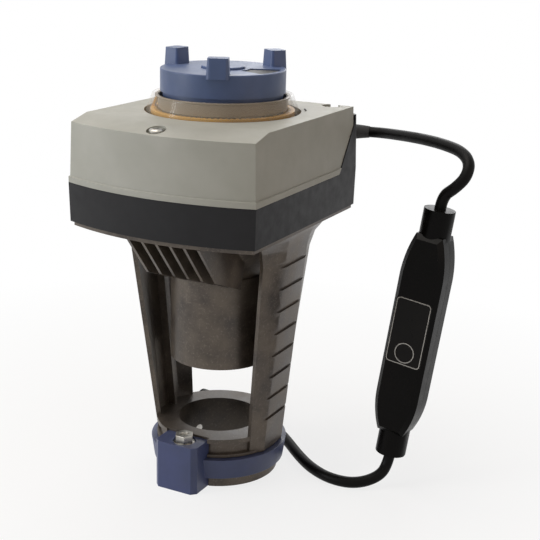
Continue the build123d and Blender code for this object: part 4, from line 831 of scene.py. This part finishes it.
@dataclass
class Studio:
    """Camera at the photograph's place, pale floor and plain soft light."""

    lens: float = 77.98
    sensor: float = 36.0
    nearest: float = 10.0
    camera_at: Point = (348.1, -607.5, 340.7)
    forward: Point = (-0.43932, 0.85101, -0.28773)
    roll: float = 1.408
    floor_half: float = 4000.0
    floor_colour: str = "f4f3f1"
    shadow_start: float = 130.0
    shadow_end: float = 420.0
    floor_glow: float = 0.8
    sky_colour: str = "f6f1ea"
    sky_light: float = 0.09
    lamps_face: Point = (10.0, 0.0, 120.0)
    lamps: tuple[Lamp, ...] = (
        Lamp("key_lamp", (-800.0, -740.0, 440.0), 420.0, 5.2, "fbfdff"),
        Lamp("top_lamp", (-200.0, -120.0, 1000.0), 700.0, 5.6, "fff8f0"),
        Lamp("side_lamp", (900.0, -160.0, 420.0), 600.0, 0.9, "ffe3c8"),
        Lamp("rear_lamp", (-200.0, 900.0, 600.0), 600.0, 2.0, "ffffff"),
    )

    def camera(self) -> None:
        """Place the camera that the photograph was taken with."""
        data = bpy.data.cameras.new("photo_camera")
        data.lens = self.lens
        data.sensor_width = self.sensor
        data.clip_start = self.nearest * MM
        camera = bpy.data.objects.new("photo_camera", data)
        bpy.context.scene.collection.objects.link(camera)
        forward = Vector(self.forward).normalized()
        level = forward.cross(Vector((0, 0, 1))).normalized()
        upright = level.cross(forward)
        turn = math.radians(self.roll)
        across = level * math.cos(turn) + upright * math.sin(turn)
        up = upright * math.cos(turn) - level * math.sin(turn)
        place = Matrix((across, up, -forward)).transposed().to_4x4()
        place.translation = Vector(self.camera_at) * MM
        camera.matrix_world = place
        bpy.context.scene.camera = camera

    def floor(self) -> None:
        """Lay a white floor with a faint shadow near the object, plain white far off."""
        bpy.ops.mesh.primitive_plane_add(size=2 * self.floor_half * MM, location=(0, 0, 0))
        floor = bpy.context.active_object
        floor.name = "studio_floor"
        material = blank_material("white_floor")
        tree = material.node_tree
        matt = add_node(tree, "ShaderNodeBsdfDiffuse", inputs={"Color": linear(self.floor_colour)})
        white = add_node(tree, "ShaderNodeEmission", inputs={"Color": WHITE, "Strength": 1.0})
        place = add_node(tree, "ShaderNodeTexCoord").outputs["Object"]
        away = add_node(tree, "ShaderNodeVectorMath", {"operation": "LENGTH"}, {0: place})
        fading = limits(self.shadow_start * MM, self.shadow_end * MM, self.floor_glow, 1.0)
        plain = add_node(tree, RANGE, inputs={"Value": away.outputs["Value"], **fading})
        share = add_node(tree, MATHS, {"operation": "MULTIPLY"}, {0: plain, 1: self.seen_ray(tree)})
        both = add_node(tree, "ShaderNodeMixShader", inputs={0: share, 1: matt, 2: white})
        add_node(tree, OUTPUT, inputs={"Surface": both})
        floor.data.materials.append(material)

    def seen_ray(self, tree: bpy.types.NodeTree) -> bpy.types.Node:
        """Tell rays of the camera, of mirrors and of clear plastic from rays of light.

        Args:
            tree: the node tree it goes into.

        Returns:
            A node that gives one for such a ray.
        """
        ray = add_node(tree, "ShaderNodeLightPath").outputs
        either = {"operation": "MAXIMUM"}
        first = add_node(tree, MATHS, either, {0: ray["Is Camera Ray"], 1: ray["Is Transmission Ray"]})
        return add_node(tree, MATHS, either, {0: first, 1: ray["Is Glossy Ray"]})

    def world(self) -> None:
        """Give the world a white background and an even grey light."""
        world = bpy.data.worlds.new("studio_world")
        world.use_nodes = True
        tree = world.node_tree
        tree.nodes.clear()
        sky = {"Color": linear(self.sky_colour), "Strength": self.sky_light}
        light = add_node(tree, "ShaderNodeBackground", inputs=sky)
        white = add_node(tree, "ShaderNodeBackground", inputs={"Color": WHITE, "Strength": 1.0})
        both = add_node(tree, "ShaderNodeMixShader", inputs={0: self.seen_ray(tree), 1: light, 2: white})
        add_node(tree, "ShaderNodeOutputWorld", inputs={"Surface": both})
        bpy.context.scene.world = world

    def hang(self, lamp: Lamp) -> None:
        """Hang a lamp so that it faces the object.

        Args:
            lamp: its sizes and light.
        """
        data = bpy.data.lights.new(lamp.name, "AREA")
        data.shape = "SQUARE"
        data.size = lamp.side * MM
        data.energy = lamp.power
        data.color = linear(lamp.tint)[:3]
        light = bpy.data.objects.new(lamp.name, data)
        bpy.context.scene.collection.objects.link(light)
        light.location = Vector(lamp.place) * MM
        aim = Vector(self.lamps_face) * MM - light.location
        light.rotation_euler = aim.to_track_quat("-Z", "Y").to_euler()

    def build(self) -> None:
        """Set up the stage."""
        self.camera()
        self.floor()
        self.world()
        for lamp in self.lamps:
            self.hang(lamp)
        bpy.context.scene.view_settings.view_transform = "Standard"


# Leads


@dataclass
class Leads:
    """The controller's lead: one stretch from the housing, one to the plug."""

    radius: float = 3.5
    length_upper: float = 172.6
    length_lower: float = 164.6
    relief_radii: tuple[float, ...] = (6.4, 5.6, 4.6, 3.8)
    relief_edge: float = 0.4
    relief_turn: float = 50.0
    slot: str = "black_rubber"
    upper: tuple[Point, ...] = (
        (42.0, 72.0, 209.0),
        (42.0, 84.0, 209.0),
        (49.0, 95.0, 208.4),
        (62.0, 98.0, 208.5),
        (81.0, 86.0, 210.5),
        (102.0, 71.0, 212.5),
        (120.0, 58.5, 213.0),
        (135.0, 47.8, 212.0),
        (143.0, 39.5, 207.5),
        (143.2, 34.0, 200.0),
        (137.0, 33.2, 192.8),
        (129.669, 34.263, 187.233),
        (128.723, 33.779, 179.300),
    )
    lower: tuple[Point, ...] = (
        (110.077, 24.221, 22.700),
        (109.131, 23.737, 14.767),
        (107.0, 16.5, 7.8),
        (95.5, 6.5, 4.0),
        (79.0, 4.2, 4.0),
        (61.5, 12.0, 4.0),
        (45.6, 25.1, 4.0),
        (30.0, 40.5, 4.0),
        (15.0, 52.6, 4.8),
        (-2.0, 60.0, 7.0),
        (-18.0, 62.5, 7.0),
    )

    def tube(self, name: str, route: Iterable[Point]) -> bpy.types.Object:
        """Make a round lead on one smooth curve.

        Args:
            name: the curve's name.
            route: its control points in millimetres.

        Returns:
            The curve object.
        """
        points = [Vector(point) * MM for point in route]
        data = bpy.data.curves.new(name, "CURVE")
        data.dimensions = "3D"
        data.resolution_u = 10
        data.bevel_depth = self.radius * MM
        data.bevel_resolution = 6
        data.use_fill_caps = True
        spline = data.splines.new("NURBS")
        spline.points.add(len(points) - 1)
        for place, point in zip(spline.points, points):
            place.co = (*point, 1.0)
        spline.order_u = 3
        spline.use_endpoint_u = True
        lead = bpy.data.objects.new(name, data)
        bpy.context.scene.collection.objects.link(lead)
        return lead

    def relief(self, shop: Workshop) -> None:
        """Make the tapered strain relief where the lead leaves the bushing.

        Args:
            shop: nodes and materials.
        """
        start, first, second, third = (Vector(point) for point in self.upper[:4])
        sleeve = self.tube("lead_relief", [start, first, second, (second + third) / 2])
        sleeve.data.bevel_depth = MM
        for point, radius in zip(sleeve.data.splines[0].points, self.relief_radii):
            point.radius = radius
        only(sleeve)
        bpy.ops.object.convert(target="MESH")
        sleeve = bpy.context.active_object
        round_edges(sleeve, self.relief_edge, 2, self.relief_turn)
        dressed(sleeve, shop.finish(SEAL), Body.FRAME)

    def build(self, shop: Workshop) -> None:
        """Lay both stretches and the plug.

        Args:
            shop: nodes and materials.
        """
        jacket = shop.finish(JACKET)
        self.relief(shop)
        upper = self.tube("lead_to_housing", self.upper)
        dressed(upper, jacket, Body.FRAME, ["lead_upper"])
        lower = self.tube("lead_to_plug", self.lower)
        dressed(lower, jacket, Body.FRAME, ["lead_lower"])
        shop.paint(CONTROLLER_BLACK, "plug_body")
        shop.paint(CONTACTS, "plug_pins")


# Sub-assemblies


@dataclass
class YokeCasting:
    """Yoke bracket with its neck ring, legs, bowl, fins and flange, cast in one."""

    edge: float = 0.7
    seams: tuple[float, float] = (34.0, 126.0)

    def build(self, shop: Workshop) -> None:
        """Dress the casting and what runs in it.

        Args:
            shop: nodes and materials.
        """
        names = ("yoke_bracket", "stem_skirt", "yoke_legs", "neck_ring")
        casting = join_up([welded_copy(shop.nodes[name], f"{name}_copy") for name in names])
        casting.name = "yoke_casting"
        open_seams(casting, self.seams)
        clean_up(casting, weld=SEAM_WELD)
        round_edges(casting, self.edge)
        dressed(casting, shop.finish(CASTING), Body.FRAME, names)
        shop.paint(STEM_STEEL, "drive_stem", "stem_coupling", "locating_pin")
        shop.paint(ZINC, "coupling_screws", "base_screws")
        shop.paint(BRONZE, "stem_guide_bush")


@dataclass
class NeckClamp:
    """Clamp band on the neck with its block, bolt, washer and nut."""

    edge: float = 0.9
    bolt_edge: float = 0.35
    washer_edge: float = 0.2

    def build(self, shop: Workshop) -> None:
        """Dress the clamp.

        Args:
            shop: nodes and materials.
        """
        shop.softened("clamp_band", "neck_clamp", CLAMP_PAINT, Body.FRAME, self.edge)
        shop.softened("clamp_bolt", "neck_clamp_bolt", ZINC, Body.FRAME, self.bolt_edge)
        shop.softened("clamp_washer", "neck_clamp_washer", ZINC, Body.FRAME, self.washer_edge)
        shop.paint(ZINC, "clamp_nut")


@dataclass
class Housing:
    """Dark base tub, pale cover, seal and screws."""

    cover_edge: float = 0.45
    base_edge: float = 0.8
    bushing_edge: float = 0.5
    plug_edge: float = 0.4
    roof: float = 230.4
    crown: float = 82.0
    front_radius: float = 180.2
    chamfer_run: float = 16.0
    chamfer_drop: float = 4.2
    cone_below: float = 40.0
    cone_above: float = 1.0
    cone_faces: int = 320
    cut_flat: float = 0.3
    mark_count: int = 3
    mark_size: Point = (3.6, 0.75, 0.08)
    mark_edge: float = 0.03
    mark_radius: float = 49.8
    mark_first: float = 29.0
    mark_step: float = 3.2

    def build(self, shop: Workshop) -> None:
        """Dress the housing.

        Args:
            shop: nodes and materials.
        """
        cover = welded_copy(shop.nodes["housing_cover"], "cover_shell")
        self.chamfer_front(cover)
        round_edges(cover, self.cover_edge)
        dressed(cover, shop.finish(PALE_HOUSING), Body.FRAME, ["housing_cover"])
        self.marks(shop)
        frame, dark = Body.FRAME, "dark_housing_plastic"
        shop.softened("housing_base", "base_tub", DARK_HOUSING, frame, self.base_edge)
        shop.paint(SEAL, "cover_gasket")
        shop.paint(ZINC, "cover_screws", "motor_screws", "plate_screws", "board_screws")
        shop.softened("cable_bushing", "lead_bushing", SEAL, frame, self.bushing_edge)
        shop.softened("blanking_plugs", "entry_plugs", DARK_HOUSING, frame, self.plug_edge)

    def chamfer_front(self, cover: bpy.types.Object) -> None:
        """Cut the front edge of the roof to a broad chamfer that follows the curve of the front.

        The cover is kept where it lies inside a blunt cone round the axis of that curve.

        Args:
            cover: the welded cover.
        """
        slope = self.chamfer_run / self.chamfer_drop
        low, high = self.roof - self.cone_below, self.roof + self.cone_above
        bpy.ops.mesh.primitive_cone_add(
            vertices=self.cone_faces,
            radius1=(self.front_radius + (self.cone_below - self.chamfer_drop) * slope) * MM,
            radius2=(self.front_radius - self.chamfer_run - self.cone_above * slope) * MM,
            depth=(high - low) * MM,
            location=(0, (self.front_radius - self.crown) * MM, (high + low) / 2 * MM),
        )
        cone = bpy.context.active_object
        finish_with(cover, "BOOLEAN", operation="INTERSECT", solver="EXACT", object=cone)
        bpy.data.objects.remove(cone)
        clean_up(cover, flat=self.cut_flat)

    def marks(self, shop: Workshop) -> None:
        """Lay plain dark bars on the roof beside the dial.

        Args:
            shop: nodes and materials.
        """
        height = self.roof + self.mark_size[2] / 2
        out = Matrix.Translation((self.mark_radius * MM, 0, height * MM))
        for index in range(self.mark_count):
            bpy.ops.mesh.primitive_cube_add(size=MM)
            bar = bpy.context.active_object
            bar.scale = self.mark_size
            turn = Matrix.Rotation(math.radians(self.mark_first + self.mark_step * index), 4, "Z")
            placed_on(bar, f"dial_mark_{index + 1}", turn @ out)
            round_edges(bar, self.mark_edge, 1)
            dressed(bar, shop.finish(SHAFT_GREY), Body.FRAME)


@dataclass
class Dial:
    """Lens, dial plate and yellow position ring."""

    edge: float = 0.3
    ring_edge: float = 0.15
    sleeve_radius: float = 38.0
    sleeve_bottom: float = 231.8
    sleeve_top: float = 239.6
    sleeve_wall: float = 0.8
    sleeve_edge: float = 0.2
    sleeve_faces: int = 96
    brim_radius: float = 40.6

    def build(self, shop: Workshop) -> None:
        """Dress the dial.

        Args:
            shop: nodes and materials.
        """
        shop.paint(LENS, "indicator_lens")
        shop.softened("dial_plate", "dial_dish", GREY_DIAL, Body.FRAME, self.edge)
        ring, yellow = Body.INDICATOR, "yellow_plastic"
        shop.softened("position_ring", "pointer_ring", POINTER_YELLOW, ring, self.ring_edge, 1)
        self.sleeve(shop)

    def sleeve(self, shop: Workshop) -> None:
        """Hang the milky sleeve from the rim of the lens, round the knob.

        Args:
            shop: nodes and materials.
        """
        height = self.sleeve_top - self.sleeve_bottom
        bpy.ops.mesh.primitive_cylinder_add(
            vertices=self.sleeve_faces,
            radius=self.sleeve_radius * MM,
            depth=height * MM,
            end_fill_type="NOTHING",
            location=(0, 0, (self.sleeve_bottom + height / 2) * MM),
        )
        wall = bpy.context.active_object
        wall.name = "dial_sleeve"
        settle(wall)
        finish_with(wall, "SOLIDIFY", thickness=self.sleeve_wall * MM, offset=1.0)
        brim = round_line(2 * self.brim_radius, self.brim_radius - self.sleeve_radius, self.sleeve_wall)
        brim_height = (self.sleeve_top - self.sleeve_wall) * MM
        placed_on(brim, "sleeve_brim", Matrix.Translation((0, 0, brim_height)))
        sleeve = join_up([wall, brim])
        round_edges(sleeve, self.sleeve_edge, 2)
        dressed(sleeve, shop.finish(SLEEVE), Body.FRAME)


@dataclass
class HandKnob:
    """Round knob with three nubs, centre cap and dark sector panel."""

    edge: float = 0.45
    inset_edge: float = 0.25

    def build(self, shop: Workshop) -> None:
        """Dress the knob.

        Args:
            shop: nodes and materials.
        """
        shop.softened("knob", "knob_grip", KNOB_BLUE, Body.KNOB, self.edge)
        shop.softened("knob_inlay", "knob_panel", KNOB_PANEL, Body.KNOB, self.inset_edge)
        shop.softened("knob_cap", "knob_centre", KNOB_BLUE, Body.KNOB, self.inset_edge)
        shop.paint(SHAFT_GREY, "knob_shaft", "knob_thrust_ring")
        shop.paint(STEM_STEEL, "knob_spring")


@dataclass
class LeadController:
    """Push-button controller that stands in the lead."""

    edge: float = 0.5
    film_edge: float = 0.12
    button_edge: float = 0.4
    middle: Point = (119.4, 29.0, 101.0)
    axis: Point = (0.118, 0.0605, 0.9912)
    face: Point = (-0.05, -0.9965, 0.067)
    film_top: float = 10.9
    ink: float = 0.06
    frame_size: tuple[float, float] = (22.4, 41.2)
    frame_corner: float = 2.4
    frame_band: float = 0.55
    frame_rise: float = 3.0
    ring_size: float = 12.7
    ring_band: float = 0.6
    ring_rise: float = -10.0

    def build(self, shop: Workshop) -> None:
        """Dress the controller.

        Args:
            shop: nodes and materials.
        """
        frame, shell, film = Body.FRAME, "black_plastic", "label_film"
        black = CONTROLLER_BLACK
        shop.softened("controller_front_shell", "controller_front", black, frame, self.edge)
        shop.softened("controller_rear_shell", "controller_rear", black, frame, self.edge)
        shop.softened("controller_label", "controller_film", LABEL_FILM, frame, self.film_edge, 2)
        shop.softened("push_button", "button_dome", LABEL_FILM, Body.BUTTON, self.button_edge)
        self.print_marks(shop)
        shop.paint(SOLDER_MASK, "controller_board", "circuit_board")
        shop.paint(ZINC, "controller_screws")

    def print_marks(self, shop: Workshop) -> None:
        """Print the plain frame and ring on the film.

        Args:
            shop: nodes and materials.
        """
        along = Vector(self.axis).normalized()
        across = along.cross(Vector(self.face).normalized()).normalized()
        out = across.cross(along)
        plane = Matrix((across, along, out)).transposed().to_4x4()
        plane.translation = (Vector(self.middle) + out * self.film_top) * MM
        frame = frame_line(*self.frame_size, self.frame_corner, self.frame_band, self.ink)
        placed_on(frame, "film_frame", plane @ Matrix.Translation((0, self.frame_rise * MM, 0)))
        ring = round_line(self.ring_size, self.ring_band, self.ink)
        placed_on(ring, "film_ring", plane @ Matrix.Translation((0, self.ring_rise * MM, 0)))
        for mark in (frame, ring):
            dressed(mark, shop.finish(PRINT_GREY), Body.FRAME)


@dataclass
class Mechanism:
    """Gears, plates and electrics inside the housing."""

    def build(self, shop: Workshop) -> None:
        """Dress what the housing hides.

        Args:
            shop: nodes and materials.
        """
        shop.paint(ACETAL, "drive_gear", "takeoff_gear", "intermediate_gear", "ring_drive_gear")
        shop.paint(BRASS, "drive_nut", "motor_pinion")
        shop.paint(BRONZE, "lower_bearing", "upper_bearing")
        shop.paint(SHEET, "gear_plate", "motor_can")
        shop.paint(STEM_STEEL, "intermediate_axle", "ring_drive_axle", "plate_pillars")
        shop.paint(TERMINALS, "terminal_block", "end_switches", "board_posts")


def main() -> None:
    """Build the scene."""
    logging.basicConfig(level=logging.INFO, format="%(name)s: %(message)s")
    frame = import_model()
    shop = Workshop(frame)
    Studio().build()
    LeadController().build(shop)
    Leads().build(shop)
    for assembly in (YokeCasting(), NeckClamp(), Housing(), Dial(), HandKnob(), Mechanism()):
        assembly.build(shop)


if __name__ == "__main__":
    main()
